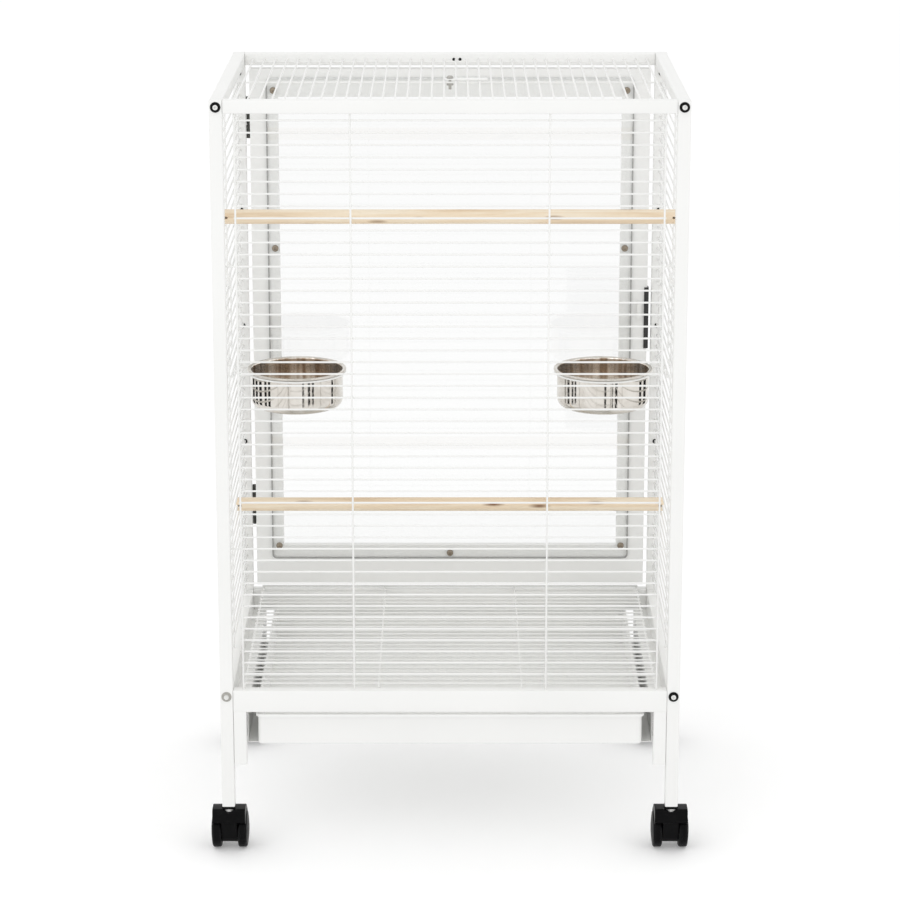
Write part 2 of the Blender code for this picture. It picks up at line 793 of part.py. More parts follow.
def make_perches(wood, root):
    """Round perches with a saw kerf in each end that straddles a side wire."""
    levels = wire_levels()
    half = POST_X + PERCH_OVERHANG
    kerf = WIRE_RADIUS + PERCH_KERF_CLEAR
    for name, (level, y) in PERCHES.items():
        z = levels[min(level, len(levels) - 1)]
        shape = bmesh.new()
        add_rod(shape, (-half, y, z), (half, y, z), PERCH_RADIUS, 12)
        perch = make_object(f"perch_{name}", shape, wood, (0, y, z), root, smooth=40)
        kerfs = bmesh.new()
        for side in (-1, 1):
            ends = sorted((side * (half - PERCH_KERF_DEPTH), side * (half + PERCH_KERF_DEPTH)))
            add_box(
                kerfs,
                (ends[0], y - 2 * PERCH_RADIUS, z - kerf),
                (ends[1], y + 2 * PERCH_RADIUS, z + kerf),
            )
        combine(perch, kerfs, "DIFFERENCE")


def bowl_place(side):
    """Centre of a bowl's ring."""
    ring_radius = BOWL_RADIUS + RING_CLEAR + RING_WIRE
    x = INNER_X - BOWL_PANEL_GAP - ring_radius - RING_WIRE
    y = (feeder_near_y() + feeder_far_y()) / 2
    level = wire_levels()[RING_WIRE_LEVEL]
    z = level - WIRE_RADIUS - RING_WIRE - GAP
    return Vector((side * x, y, z)), ring_radius, level


def make_bowl_ring(name, side, steel, root):
    """A wire ring with two arms that hook over a wire of the side panel."""
    centre, radius, level = bowl_place(side)
    shape = bmesh.new()
    add_ring(shape, centre, radius, RING_WIRE, BOWL_STEPS)
    ring = make_object(name, shape, steel, centre, root)
    arms = bmesh.new()
    over = level + WIRE_RADIUS + RING_WIRE + GAP
    chord = math.sqrt(radius * radius - RING_ARM_SPREAD * RING_ARM_SPREAD)
    for spread in (-RING_ARM_SPREAD, RING_ARM_SPREAD):
        y = centre.y + spread
        start = centre.x + side * (chord - RING_WIRE / 2)
        inside = side * (POST_X - RING_ARM_BACKSET)
        outside = side * (POST_X + RING_ARM_BACKSET)
        points = (
            (start, y, centre.z),
            (inside, y, centre.z),
            (inside, y, over),
            (outside, y, over),
            (outside, y, over - RING_HOOK_DROP),
        )
        add_bent_rod(arms, points, RING_WIRE)
    combine(ring, arms, "UNION")


def bowl_profile(bottom, bead_level, bead_radius):
    """The bowl's section: outside, round the rolled bead and down the inside."""
    round_centre = (BOWL_RADIUS - BOWL_BASE_ROUND, bottom + BOWL_BASE_ROUND)
    bead = arc_points((bead_radius, bead_level), BOWL_BEAD, 250, 460, 3)
    points = [(0, bottom)]
    points += arc_points(round_centre, BOWL_BASE_ROUND, 270, 360, 3)
    points += [(BOWL_RADIUS, bead[0][1])]
    points += bead
    points += [(BOWL_RADIUS - BOWL_WALL, bead_level + BOWL_BEAD / 2)]
    points += arc_points(round_centre, BOWL_BASE_ROUND - BOWL_WALL, 360, 270, 3)
    points += [(0, bottom + BOWL_WALL)]
    return points


def make_bowl(name, side, steel, root):
    centre, _, _ = bowl_place(side)
    bead_level = centre.z + RING_WIRE + GAP + BOWL_BEAD
    bottom = bead_level + BOWL_BEAD - BOWL_HEIGHT
    bead_radius = BOWL_RADIUS + BOWL_BEAD_OUT
    lift = make_empty(f"{name}_lift", centre, root)
    shape = bmesh.new()
    profile = bowl_profile(bottom, bead_level, bead_radius)
    add_turned(shape, profile, (centre.x, centre.y, 0), Z_AXIS, BOWL_STEPS, X_AXIS)
    make_object(name, shape, steel, centre, lift, smooth=50)


def make_feeder_door(name, side, paint, root):
    """A wire door outside the opening, hung by two collars on the opening's near upright."""
    levels = wire_levels()
    rows = levels[FEEDER_TOP_WIRE:FEEDER_TOP_WIRE + FEEDER_ROWS + 1]
    near = feeder_near_y()
    far = feeder_far_y()
    axis_x = side * (POST_X + WIRE_CROSSING)
    plane = side * (POST_X + WIRE_CROSSING + 2 * WIRE_RADIUS + FEEDER_DOOR_CLEAR)
    outer = plane + side * WIRE_CROSSING
    near_stile = near + FEEDER_STILE_INSET
    far_stile = far + FEEDER_STILE_OVERLAP
    wires = []
    for i, z in enumerate(rows):
        reach = FEEDER_PULL if i == FEEDER_ROWS // 2 else WIRE_END
        wires.append(((plane, near_stile - WIRE_END, z), (plane, far_stile + reach, z)))
    ends = (rows[-1] - WIRE_END, rows[0] + WIRE_END)
    stiles = [((outer, y, ends[0]), (outer, y, ends[1])) for y in (near_stile, (near + far) / 2, far_stile)]
    origin = Vector((axis_x, near, (rows[0] + rows[-1]) / 2))
    hinge = make_empty(f"{name}_hinge", origin, root)
    door = make_wire_panel(name, wires, stiles, X_AXIS, paint, origin, hinge)
    for row in (0, FEEDER_ROWS - 1):
        middle = (rows[row] + rows[row + 1]) / 2
        collar = bmesh.new()
        centre = (axis_x, near, middle)
        half = COLLAR_HEIGHT / 2
        add_pipe(collar, centre, Z_AXIS, -half, half, COLLAR_RADIUS, COLLAR_BORE, 6, X_AXIS)
        combine(door, collar, "UNION")
        link = bmesh.new()
        toward = Vector((outer - axis_x, near_stile - near, 0)).normalized()
        start = Vector(centre) + toward * COLLAR_LINK_START
        add_rod(link, start, (outer, near_stile, middle), COLLAR_LINK_RADIUS)
        combine(door, link, "UNION")


def door_edges():
    """Half width, lower and upper level of the door frame, and its inner and outer plane."""
    half = INNER_X - DOOR_SIDE_GAP
    low = BASE_TOP + DOOR_BOTTOM_GAP
    high = ROOF_LOW - DOOR_TOP_GAP
    outer = DEPTH / 2 - DOOR_SETBACK
    return half, low, high, outer - DOOR_THICKNESS, outer


def latch_spindle():
    half, low, high, _, outer = door_edges()
    return Vector((half - LATCH_SPINDLE_INSET, outer, (low + high) / 2 + LATCH_ABOVE_MIDDLE))


def make_door(paint, hinge):
    half, low, high, inner, outer = door_edges()
    shape = bmesh.new()
    add_box(shape, (-half, inner, low), (half, outer, high))
    door = make_object("door_frame", shape, paint, (-half, outer, low), hinge)
    cuts = bmesh.new()
    add_box(
        cuts,
        (-half + DOOR_STILE, inner - DOOR_THICKNESS, low + DOOR_BOTTOM_RAIL),
        (half - DOOR_STILE, outer + DOOR_THICKNESS, high - DOOR_STILE),
    )
    spindle = latch_spindle()
    start = (spindle.x, inner - DOOR_THICKNESS, spindle.z)
    finish = (spindle.x, outer + DOOR_THICKNESS, spindle.z)
    add_rod(cuts, start, finish, LATCH_BORE, 10)
    combine(door, cuts, "DIFFERENCE")
    bevel = door.modifiers.new("Edges", "BEVEL")
    bevel.width = TUBE_CORNER / 2
    bevel.segments = 1
    bevel.limit_method = "ANGLE"
    bevel.angle_limit = math.radians(60)


def make_acrylic(clear, hinge):
    half, low, high, inner, _ = door_edges()
    half_x = half - ACRYLIC_SIDE_INSET
    bottom = low + ACRYLIC_BOTTOM_INSET
    top = high - ACRYLIC_TOP_INSET
    middle = (bottom + top) / 2
    outline = rounded_rectangle(half_x, (top - bottom) / 2, ACRYLIC_CORNER, 0, 2)
    shape = bmesh.new()
    rear = inner - GAP
    add_prism(shape, [(x, z + middle) for x, z, _ in outline], 1, rear - ACRYLIC_THICKNESS, rear)
    make_object("acrylic_sheet", shape, clear, (0, rear, middle), hinge)


def hinge_axis():
    half, _, _, _, outer = door_edges()
    return Vector((-(half + INNER_X) / 2, outer, 0))


def make_hinges(steel, hinge, root):
    """Weld-on barrel hinges: two knuckles and the pin on the post, one knuckle on the door."""
    half, low, high, _, _ = door_edges()
    axis = hinge_axis()
    pitch = KNUCKLE_LENGTH + KNUCKLE_GAP
    bottoms = {
        "lower": low + LOWER_HINGE_OFFSET,
        "upper": high - UPPER_HINGE_OFFSET - 3 * pitch,
    }
    for name, bottom in bottoms.items():
        origin = (axis.x, axis.y, bottom + 1.5 * pitch)
        pin = bmesh.new()
        add_rod(pin, (axis.x, axis.y, bottom + LAP), (axis.x, axis.y, bottom + 3 * pitch - LAP), HINGE_PIN, 8)
        fixed = make_object(f"hinge_{name}_fixed", pin, steel, origin, root)
        knuckles = bmesh.new()
        tabs = bmesh.new()
        for place in (bottom, bottom + 2 * pitch):
            top = place + KNUCKLE_LENGTH
            add_rod(knuckles, (axis.x, axis.y, place), (axis.x, axis.y, top), HINGE_RADIUS, 10)
            add_box(
                tabs,
                (-INNER_X + GAP, axis.y - HINGE_TAB[1], place + LAP),
                (axis.x, axis.y - HINGE_TAB[0], top - LAP),
            )
        combine(fixed, knuckles, "UNION")
        combine(fixed, tabs, "UNION")
        middle = bottom + pitch
        tab = bmesh.new()
        add_box(
            tab,
            (axis.x, axis.y - HINGE_TAB[1], middle + LAP),
            (-half - GAP, axis.y - HINGE_TAB[0], middle + KNUCKLE_LENGTH - LAP),
        )
        moving = make_object(f"hinge_{name}_moving", tab, steel, origin, hinge)
        barrel = bmesh.new()
        add_rod(barrel, (axis.x, axis.y, middle), (axis.x, axis.y, middle + KNUCKLE_LENGTH), HINGE_RADIUS, 10)
        combine(moving, barrel, "UNION")
        bore = bmesh.new()
        add_rod(bore, (axis.x, axis.y, bottom), (axis.x, axis.y, bottom + 3 * pitch), HINGE_BORE, 10)
        combine(moving, bore, "DIFFERENCE")


def blade_outline(width, length):
    """A blade with a round end about the origin, tapered to its tip."""
    shoulder = width / 2 - width * BLADE_TAPER
    tip = shoulder / 2
    points = arc_points((0, 0), width / 2, 180, 360, 6)
    points += [(shoulder, length - width / 3), (tip, length)]
    points += [(-tip, length), (-shoulder, length - width / 3)]
    return points


def make_latch(dark, hinge):
    """An angle plate on the door's closing edge, and a lever that turns a tongue inside."""
    half, _, _, inner, outer = door_edges()
    spindle = latch_spindle()
    low = spindle.z - LATCH_PLATE_HEIGHT / 2
    edge = half + GAP
    face = inner - GAP
    outline = [
        (edge, outer - GAP),
        (edge, face),
        (edge - LATCH_PLATE_WIDTH + LATCH_PLATE_SHEET, face),
        (edge - LATCH_PLATE_WIDTH + LATCH_PLATE_SHEET, face - LATCH_PLATE_SHEET),
        (edge + LATCH_PLATE_SHEET, face - LATCH_PLATE_SHEET),
        (edge + LATCH_PLATE_SHEET, outer - GAP),
    ]
    plate = bmesh.new()
    add_prism(plate, outline, 2, low, low + LATCH_PLATE_HEIGHT)
    make_object("latch_plate", plate, dark, (edge, face, spindle.z), hinge)
    turn = make_empty("latch_turn", spindle, hinge)
    tongue_rear = inner - LATCH_TONGUE_CLEAR
    lever_front = outer + GAP
    shape = bmesh.new()
    add_rod(
        shape,
        (spindle.x, tongue_rear - LATCH_TONGUE_THICKNESS / 2, spindle.z),
        (spindle.x, lever_front + LATCH_LEVER_THICKNESS / 2, spindle.z),
        LATCH_SPINDLE, 10,
    )
    handle = make_object("latch_handle", shape, dark, spindle, turn, smooth=40)
    for up, width, length, front, rear in (
        (1, LATCH_TONGUE_WIDTH, LATCH_TONGUE_LENGTH, tongue_rear - LATCH_TONGUE_THICKNESS, tongue_rear),
        (-1, LATCH_LEVER_WIDTH, LATCH_LEVER_LENGTH, lever_front, lever_front + LATCH_LEVER_THICKNESS),
    ):
        outline = [(spindle.x + x, spindle.z + up * z) for x, z in blade_outline(width, length)]
        blade = bmesh.new()
        add_prism(blade, outline, 1, front, rear)
        combine(handle, blade, "UNION")


def hood_contour(shrink=0.0):
    """The hood's side seen along the axle, from the rear lip over the top and down the
    front face: points of (distance behind the post's axis, height)."""
    axle = (CASTER_TRAIL, WHEEL_RADIUS)
    top = hood_top() - shrink
    nose = HOOD_NOSE - shrink
    points = arc_points(axle, hood_arc() - shrink, HOOD_REAR_ANGLE, HOOD_SLOPE_ANGLE, 4)
    points += [(CASTER_TRAIL, top - HOOD_CREST_DROP), (HOOD_CREST, top)]
    nose_centre = (HOOD_NOSE_ROUND - nose, top - HOOD_NOSE_ROUND)
    points += arc_points(nose_centre, HOOD_NOSE_ROUND, 90, 180, 3)
    points += [(-nose, HOOD_FACE_LOW)]
    return points


def cavity_arc():
    return WHEEL_RADIUS / math.cos(math.pi / WHEEL_SIDES) + HOOD_CLEAR


def hood_arc():
    return cavity_arc() + HOOD_WALL


def hood_top():
    return LEG_LOW - 2 * GAP - SOCKET_FLANGE


def make_socket(corner, post, black, root):
    """The plug in the open end of a post, with the bore that a caster's stem turns in."""
    flange_low = LEG_LOW - GAP - SOCKET_FLANGE
    half = TUBE / 2 - TUBE_WALL - SOCKET_CLEAR
    socket = bmesh.new()
    add_box(
        socket,
        (post.x - half, post.y - half, flange_low + LAP),
        (post.x + half, post.y + half, LEG_LOW + SOCKET_DEPTH),
    )
    plug = make_object(f"caster_socket_{corner}", socket, black, post, root)
    flange = bmesh.new()
    outline = [(post.x + u, post.y + v) for u, v in tube_outline(TUBE, TUBE)]
    add_prism(flange, outline, 2, flange_low, LEG_LOW - GAP)
    combine(plug, flange, "UNION")
    bore = bmesh.new()
    add_rod(bore, post - Z_AXIS * TUBE, post + Z_AXIS * (STEM_LENGTH + GAP), STEM_BORE, 10, X_AXIS)
    combine(plug, bore, "DIFFERENCE")


def make_caster(corner, side, end, black, grey, root):
    """A twin-wheel caster. Its wheels trail towards the middle of the cage."""
    post = Vector((side * POST_X, end * POST_Y, LEG_LOW))
    trail = -end
    make_socket(corner, post, black, root)
    swivel = make_empty(f"caster_swivel_{corner}", (post.x, post.y, 0), root)
    axle = Vector((post.x, post.y + trail * CASTER_TRAIL, WHEEL_RADIUS))

    def placed(points):
        return [(post.y + trail * behind, z) for behind, z in points]

    # The web between the wheels
    web_points = hood_contour(LAP)
    web_points += arc_points((CASTER_TRAIL, WHEEL_RADIUS), HOOD_WEB_ARC, 200, 340, 5)
    web = bmesh.new()
    add_prism(web, placed(web_points), 0, axle.x - HOOD_WEB, axle.x + HOOD_WEB)
    hood = make_object(f"caster_hood_{corner}", web, black, post, swivel, smooth=35)

    # The cover over the tops of both wheels
    cover_points = hood_contour() + [(-HOOD_RETURN, HOOD_RETURN_LOW)]
    cover_points += arc_points(
        (CASTER_TRAIL, WHEEL_RADIUS), cavity_arc(), HOOD_CAVITY_ANGLE, HOOD_REAR_ANGLE, 7
    )
    cover = bmesh.new()
    add_prism(cover, placed(cover_points), 0, axle.x - HOOD_HALF_WIDTH, axle.x + HOOD_HALF_WIDTH)
    combine(hood, cover, "UNION")

    # The notch in the hood's front that bares the swivel ring, and the ring with its stem
    notch = bmesh.new()
    notch_z = hood_top() - NOTCH_DEPTH + NOTCH_RADIUS
    notch_ends = [(post.x, post.y + trail * behind, notch_z) for behind in (-2 * HOOD_NOSE, NOTCH_LENGTH)]
    add_rod(notch, *notch_ends, NOTCH_RADIUS, 12)
    combine(hood, notch, "DIFFERENCE")
    boss = bmesh.new()
    boss_low = hood_top() - 2 * NOTCH_DEPTH
    boss_profile = (
        (0, boss_low),
        (SWIVEL_RING, boss_low),
        (SWIVEL_RING, hood_top() - GAP),
        (STEM_RADIUS, hood_top() - GAP),
        (STEM_RADIUS, LEG_LOW + STEM_LENGTH),
        (0, LEG_LOW + STEM_LENGTH),
    )
    add_turned(boss, boss_profile, (post.x, post.y, 0), Z_AXIS, 12, X_AXIS)
    combine(hood, boss, "UNION")

    pin = bmesh.new()
    axle_reach = X_AXIS * (WHEEL_HALF_GAP + AXLE_SEAT)
    add_rod(pin, axle - axle_reach, axle + axle_reach, AXLE_RADIUS, 10)
    combine(hood, pin, "UNION")

    for name, hand in (("outer", side), ("inner", -side)):
        spin = make_empty(f"wheel_spin_{corner}_{name}", axle, swivel)
        make_wheel(f"wheel_{corner}_{name}", axle, hand, grey, spin)
    if end < 0:
        make_brake(corner, axle, trail, hood, black, swivel)


def make_wheel(name, axle, hand, grey, spin):
    """A wheel with a round-shouldered tread, a domed outer face and a blind bore."""
    flat = 1 / math.cos(math.pi / WHEEL_SIDES)
    face = WHEEL_HALF_GAP + WHEEL_WIDTH
    bore_end = WHEEL_HALF_GAP + AXLE_SEAT + GAP
    profile = (
        (0, bore_end),
        (AXLE_BORE * flat, bore_end),
        (AXLE_BORE * flat, WHEEL_HALF_GAP),
        ((WHEEL_RADIUS - WHEEL_SHOULDER) * flat, WHEEL_HALF_GAP),
        (WHEEL_RADIUS * flat, WHEEL_HALF_GAP + WHEEL_SHOULDER),
        (WHEEL_RADIUS * flat, face - WHEEL_SHOULDER),
        ((WHEEL_RADIUS - WHEEL_SHOULDER) * flat, face),
        (WHEEL_DOME_FLAT, face + WHEEL_DOME),
        (0, face + WHEEL_DOME),
    )
    shape = bmesh.new()
    add_turned(shape, profile, axle, X_AXIS * hand, WHEEL_SIDES, Z_AXIS, half_step=True)
    make_object(name, shape, grey, axle, spin, smooth=40)


def lever_outline():
    """Side of the brake lever round its pivot: a heel, and a tongue that rises behind it."""
    heel = LEVER_HEEL
    slim = LEVER_THICKNESS
    return [
        (-heel, -heel), (heel, -heel), (heel + slim / 2, 0), (LEVER_LENGTH, LEVER_RISE),
        (LEVER_LENGTH - slim / 3, LEVER_RISE + slim), (heel / 3, heel + slim / 4), (-heel, slim),
    ]


def make_brake(corner, axle, trail, hood, black, swivel):
    """A foot lever in a pocket of the hood, on a cross pin behind the wheels' top."""
    turn = math.radians(BRAKE_ANGLE)
    reach = hood_arc() - BRAKE_PIVOT_INSET
    pivot = Vector((axle.x, axle.y + trail * reach * math.cos(turn), axle.z + reach * math.sin(turn)))
    low, high = BRAKE_POCKET_ANGLES
    depth = BRAKE_HALF_WIDTH + BRAKE_POCKET_CLEAR
    pocket_points = arc_points((0, 0), hood_arc() + BRAKE_POCKET_RISE, low, high, 3)
    pocket_points += arc_points((0, 0), hood_arc() - BRAKE_POCKET_DEPTH, high, low, 3)
    outline = [(axle.y + trail * y, axle.z + z) for y, z in pocket_points]
    pocket = bmesh.new()
    add_prism(pocket, outline, 0, axle.x - depth, axle.x + depth)
    combine(hood, pocket, "DIFFERENCE")
    pin = bmesh.new()
    pin_reach = X_AXIS * (depth + LAP)
    add_rod(pin, pivot - pin_reach, pivot + pin_reach, BRAKE_PIN, 8)
    combine(hood, pin, "UNION")

    hinge = make_empty(f"brake_hinge_{corner}", pivot, swivel)
    shape = bmesh.new()
    outline = [(pivot.y + trail * y, pivot.z + z) for y, z in lever_outline()]
    add_prism(shape, outline, 0, axle.x - BRAKE_HALF_WIDTH, axle.x + BRAKE_HALF_WIDTH)
    lever = make_object(f"brake_lever_{corner}", shape, black, pivot, hinge)
    bore = bmesh.new()
    bore_reach = X_AXIS * 2 * BRAKE_HALF_WIDTH
    add_rod(bore, pivot - bore_reach, pivot + bore_reach, BRAKE_BORE, 8)
    combine(lever, bore, "DIFFERENCE")


def build():
    clear_scene()
    paint = make_material("white_powder_coat", (0.88, 0.89, 0.87), 0.38)
    steel = make_material("stainless_steel", (0.62, 0.60, 0.58), 0.16, 1.0)
    zinc = make_material("zinc_bolt", (0.45, 0.45, 0.44), 0.35, 1.0)
    dark = make_material("black_metal", (0.03, 0.03, 0.03), 0.45)
    black = make_material("black_plastic", (0.02, 0.02, 0.02), 0.42)
    tread = make_material("black_tread", (0.03, 0.03, 0.03), 0.60)
    clear = make_material("clear_acrylic", (0.93, 0.95, 0.96), 0.06, 0.0, 1.0)
    wood = make_material("pine", (0.80, 0.62, 0.42), 0.62)

    root = make_empty("cage_frame", (0, 0, 0))
    make_posts(paint, root)
    make_bolts(zinc, root)
    make_top_rails(paint, root)
    make_base_end_rails(paint, root)
    make_base_side_rails(paint, root)
    make_front_panel(paint, root)
    for name, side in (("left", -1), ("right", 1)):
        make_side_panel(f"side_panel_{name}", side, paint, root)
        make_feeder_door(f"feeder_door_{name}", side, paint, root)
        make_bowl_ring(f"bowl_ring_{name}", side, paint, root)
        make_bowl(f"bowl_{name}", side, steel, root)
    make_roof_panel(paint, root)
    make_roof_plate(paint, dark, root)
    make_floor_grille(paint, root)
    make_tray(paint, root)
    make_perches(wood, root)

    hinge = make_empty("door_hinge", hinge_axis(), root)
    make_door(paint, hinge)
    make_acrylic(clear, hinge)
    make_hinges(zinc, hinge, root)
    make_latch(dark, hinge)

    for corner, (side, end) in corner_names().items():
        make_caster(corner, side, end, black, tread, root)


build()
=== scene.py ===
# The looks of the bird cage: round wires, screws, finishes, light and camera
import math

import bmesh
import bpy
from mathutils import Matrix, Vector


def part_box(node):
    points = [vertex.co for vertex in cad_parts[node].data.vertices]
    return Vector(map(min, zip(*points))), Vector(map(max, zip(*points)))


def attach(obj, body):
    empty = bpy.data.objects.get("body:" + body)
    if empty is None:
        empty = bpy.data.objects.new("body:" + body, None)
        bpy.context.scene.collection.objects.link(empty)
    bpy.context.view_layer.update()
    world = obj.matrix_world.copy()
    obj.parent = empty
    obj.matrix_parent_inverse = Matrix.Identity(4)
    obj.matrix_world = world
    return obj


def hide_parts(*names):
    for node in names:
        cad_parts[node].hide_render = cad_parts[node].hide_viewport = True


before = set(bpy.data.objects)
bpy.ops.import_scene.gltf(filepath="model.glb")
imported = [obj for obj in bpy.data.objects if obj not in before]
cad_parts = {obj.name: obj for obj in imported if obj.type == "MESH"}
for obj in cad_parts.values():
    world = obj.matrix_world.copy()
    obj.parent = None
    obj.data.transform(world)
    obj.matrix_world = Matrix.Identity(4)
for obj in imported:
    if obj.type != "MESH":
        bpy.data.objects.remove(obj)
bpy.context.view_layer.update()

# Sizes repeated from the CAD source, in metres
TUBE = 0.017
TUBE_WALL = 0.0012
BASE_RAIL_HEIGHT = 0.030
WIRE = 0.00125
WIRE_PITCH = 0.01575
WIRE_CROSSING = 0.0017
WIRE_END = 0.0022
WIRE_ROWS = 48
FIRST_WIRE_DROP = 0.0095
FRONT_UPRIGHTS = (-0.274, -0.127, 0.127, 0.274)
FRONT_HOOKS = (12, 36)
PANEL_BORDER = 0.0105
ROOF_WIRES = 36
FEEDER_TOP_WIRE = 15
FEEDER_ROWS = 8
FEEDER_LENGTH = 0.237
FEEDER_FAR_CLEAR = 0.0157
FEEDER_STILE_INSET = 0.0045
FEEDER_STILE_OVERLAP = 0.003
FEEDER_PULL = 0.010
COLLAR_HALF = 0.0040
GRILLE_BEARER_X = 0.095
GRILLE_END_MARGIN = 0.004
GRILLE_PULL_ROWS = 2
RUNNER_SHEET = 0.0012
RUNNER_LEDGE = 0.0265
TRAY_LIP = 0.003
TRAY_LIP_HEIGHT = 0.004
TRAY_WALL = 0.0012
TRAY_CORNER = 0.006
BOWL_RADIUS = 0.0640
BOWL_WALL = 0.0008
BOWL_BEAD = 0.0018
BOWL_BASE_ROUND = 0.012
RING_RADIUS = BOWL_RADIUS + 0.003
RING_WIRE = 0.0015
RING_GAP = 0.0003
RING_ARM_SPREAD = 0.025
RING_ARM_BACKSET = 0.0035
RING_HOOK_DROP = 0.010
PERCH_RADIUS = 0.0095
PERCH_KERF_DEPTH = 0.0080
PERCH_KERF = 0.0016
DOOR_STILE = 0.040
DOOR_BOTTOM_RAIL = 0.06055
SHEET_CORNER = 0.006
HINGE_RADIUS = 0.0025
HINGE_PIN = 0.0012

# Casters, measured from the post's axis and the floor
CASTER_TRAIL = 0.018
WHEEL_RADIUS = 0.025
WHEEL_WIDTH = 0.0125
WHEEL_DOME = 0.0020
WHEEL_SHOULDER = 0.0030
WHEEL_HALF_GAP = 0.0110
AXLE_RADIUS = 0.0030
AXLE_BORE = 0.0034
AXLE_SEAT = 0.0075
HOOD_CAVITY = 0.0263
HOOD_ARC = 0.0290
HOOD_HALF_WIDTH = 0.022
HOOD_WEB = 0.0103
HOOD_WEB_ARC = 0.0178
HOOD_NOSE = 0.0112
HOOD_NOSE_ROUND = 0.0050
HOOD_FACE_LOW = 0.0440
HOOD_TOP = 0.0624
NOTCH_RADIUS = 0.0080
NOTCH_DEPTH = 0.0039
NOTCH_LENGTH = 0.009
POCKET_HALF_WIDTH = 0.0062
POCKET_RISE = 0.009
POCKET_DEPTH = 0.011
POCKET_ANGLES = (24, 74)
SWIVEL_RING = 0.0075
STEM_RADIUS = 0.0050
STEM_TOP = 0.088
BRAKE_ANGLE = 48
BRAKE_PIVOT_INSET = 0.0052
BRAKE_HALF_WIDTH = 0.0055
BRAKE_PIN = 0.0012
BRAKE_PIN_REACH = 0.0068
BRAKE_RIBS = 3
BRAKE_RIB_PITCH = 0.0026
BRAKE_RIB_FALL = 0.001804
TREAD_GROOVES = 6

# Details that only the looks have
SHARP_ANGLE = 38
SOFT_ANGLE = 35
TUBE_ROUND = 0.0018
TUBE_INNER_ROUND = 0.0006
TUBE_END = 0.0003
INTO_TUBE = 0.0013
WIRE_SIDES = 10
WIRE_TIP = 0.72
WIRE_DOME = 0.35
WELD_RADIUS = WIRE * 1.42
WELD_HALF = WIRE * 0.9
RUNNER_BEND = RUNNER_SHEET * 1.4
RUNNER_FOLD = 0.0006
RUNNER_FLANGE = 0.027
RUNNER_INSET = 0.0005
COLLAR_MIDDLE = 0.0026
COLLAR_HALF_WALL = 0.0008
COLLAR_EDGE = 0.0003
LINK_WIRE = 0.0009
BOWL_FLOOR = ((0, 0.0012), (0.030, 0.0012), (0.033, 0.0009), (0.036, 0.0002), (0.040, 0))
SATIN_LOW = 0.002
SATIN_HIGH = 0.010
WALL_SLOPE = 0.6
HOOK_BEND = 0.0018
KERF_ROUND = 0.0004
TRAY_BEND = 0.0024
DOOR_ROUND = 0.0014
EDGE_SKIN = 0.0001
EDGE_FACE = 0.0016
HINGE_EDGE = 0.0004
HINGE_LEAF = (-0.0020, -0.0006)
HINGE_LEAF_ROUND = 0.0002
PLAIN_BOLT = "bolt_front_left_base"

# Screws: their places, and the radius and height of their heads
SHEET_SCREW_X = 0.2488
SHEET_SCREW_LEVELS = (0.966, 0.740, 0.519, 0.298)
SHEET_SCREW_LOWEST = 0.287
SHEET_SCREW = (0.0048, 0.0023)
SHEET_SCREW_PROUD = 0.0002
POST_SCREW_LEVELS = (0.990, 0.795, 0.627, 0.455)
POST_SCREW = (0.0034, 0.0022)
RAIL_SCREW_PLACES = (0.0054, 0.0140)
RAIL_SCREW = (0.0022, 0.0014)

# Studio: a card is its bearing from the front and half its angle, in degrees,
# and a lamp is its name, place, size and power
AMBIENT = 0.93
FLOOR_GLOW = 0.17
FLOOR_SIZE = 14.0
FLOOR_DROP = 0.0004
CARD_DISTANCE = 1.6
CARD_HEIGHT = 0.34
CARDS = (
    (-132, 6), (-116, 4.6), (-101.2, 4.5), (-85.4, 3.3), (-75, 3.1),
    (11, 2.5), (27, 3.5), (38, 3.0), (104, 4), (122, 6),
)
LAMPS = (("key", (-1.7, -2.7, 2.7), 2.2, 14), ("fill", (2.4, -2.0, 1.5), 1.8, 5))
LAMP_AIM = Vector((0, 0, 0.55))
CAMERA_PLACE = (0, -4.043, 1.5964)
CAMERA_DIP = 0.2502
CAMERA_LENS = 121.7
CAMERA_SHIFT = -0.05

X_AXIS = Vector((1, 0, 0))
Y_AXIS = Vector((0, 1, 0))
Z_AXIS = Vector((0, 0, 1))
CORNERS = {"front_left": (-1, -1), "front_right": (1, -1), "rear_left": (-1, 1), "rear_right": (1, 1)}
SIDES = {"left": -1, "right": 1}

roof_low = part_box("top_rail_front")[0].z
roof_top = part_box("top_rail_front")[1].z
base_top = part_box("base_rail_front")[1].z
post_x = (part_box("post_front_right")[0].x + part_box("post_front_right")[1].x) / 2
post_y = (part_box("post_rear_right")[0].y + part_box("post_rear_right")[1].y) / 2
inner_x = post_x - TUBE / 2
inner_y = post_y - TUBE / 2
levels = [roof_low - FIRST_WIRE_DROP - WIRE_PITCH * i for i in range(WIRE_ROWS)]
border_y = inner_y - PANEL_BORDER
feeder_far = border_y - FEEDER_FAR_CLEAR
feeder_near = feeder_far - FEEDER_LENGTH


# Node helpers: the owner is a material or the world

def set_inputs(node, values):
    for name, value in values.items():
        node.inputs[name].default_value = value


def add_node(owner, kind, values=None, **settings):
    """A new node with its own settings and with values for its inputs."""
    node = owner.node_tree.nodes.new(kind)
    for key, value in settings.items():
        setattr(node, key, value)
    set_inputs(node, values or {})
    return node


def link(owner, output, socket):
    owner.node_tree.links.new(output, socket)


def math_node(owner, operation, first, second):
    """Works on two outputs, or on an output and a number."""
    node = add_node(owner, "ShaderNodeMath", operation=operation)
    link(owner, first, node.inputs[0])
    if isinstance(second, float):
        node.inputs[1].default_value = second
    else:
        link(owner, second, node.inputs[1])
    return node.outputs["Value"]


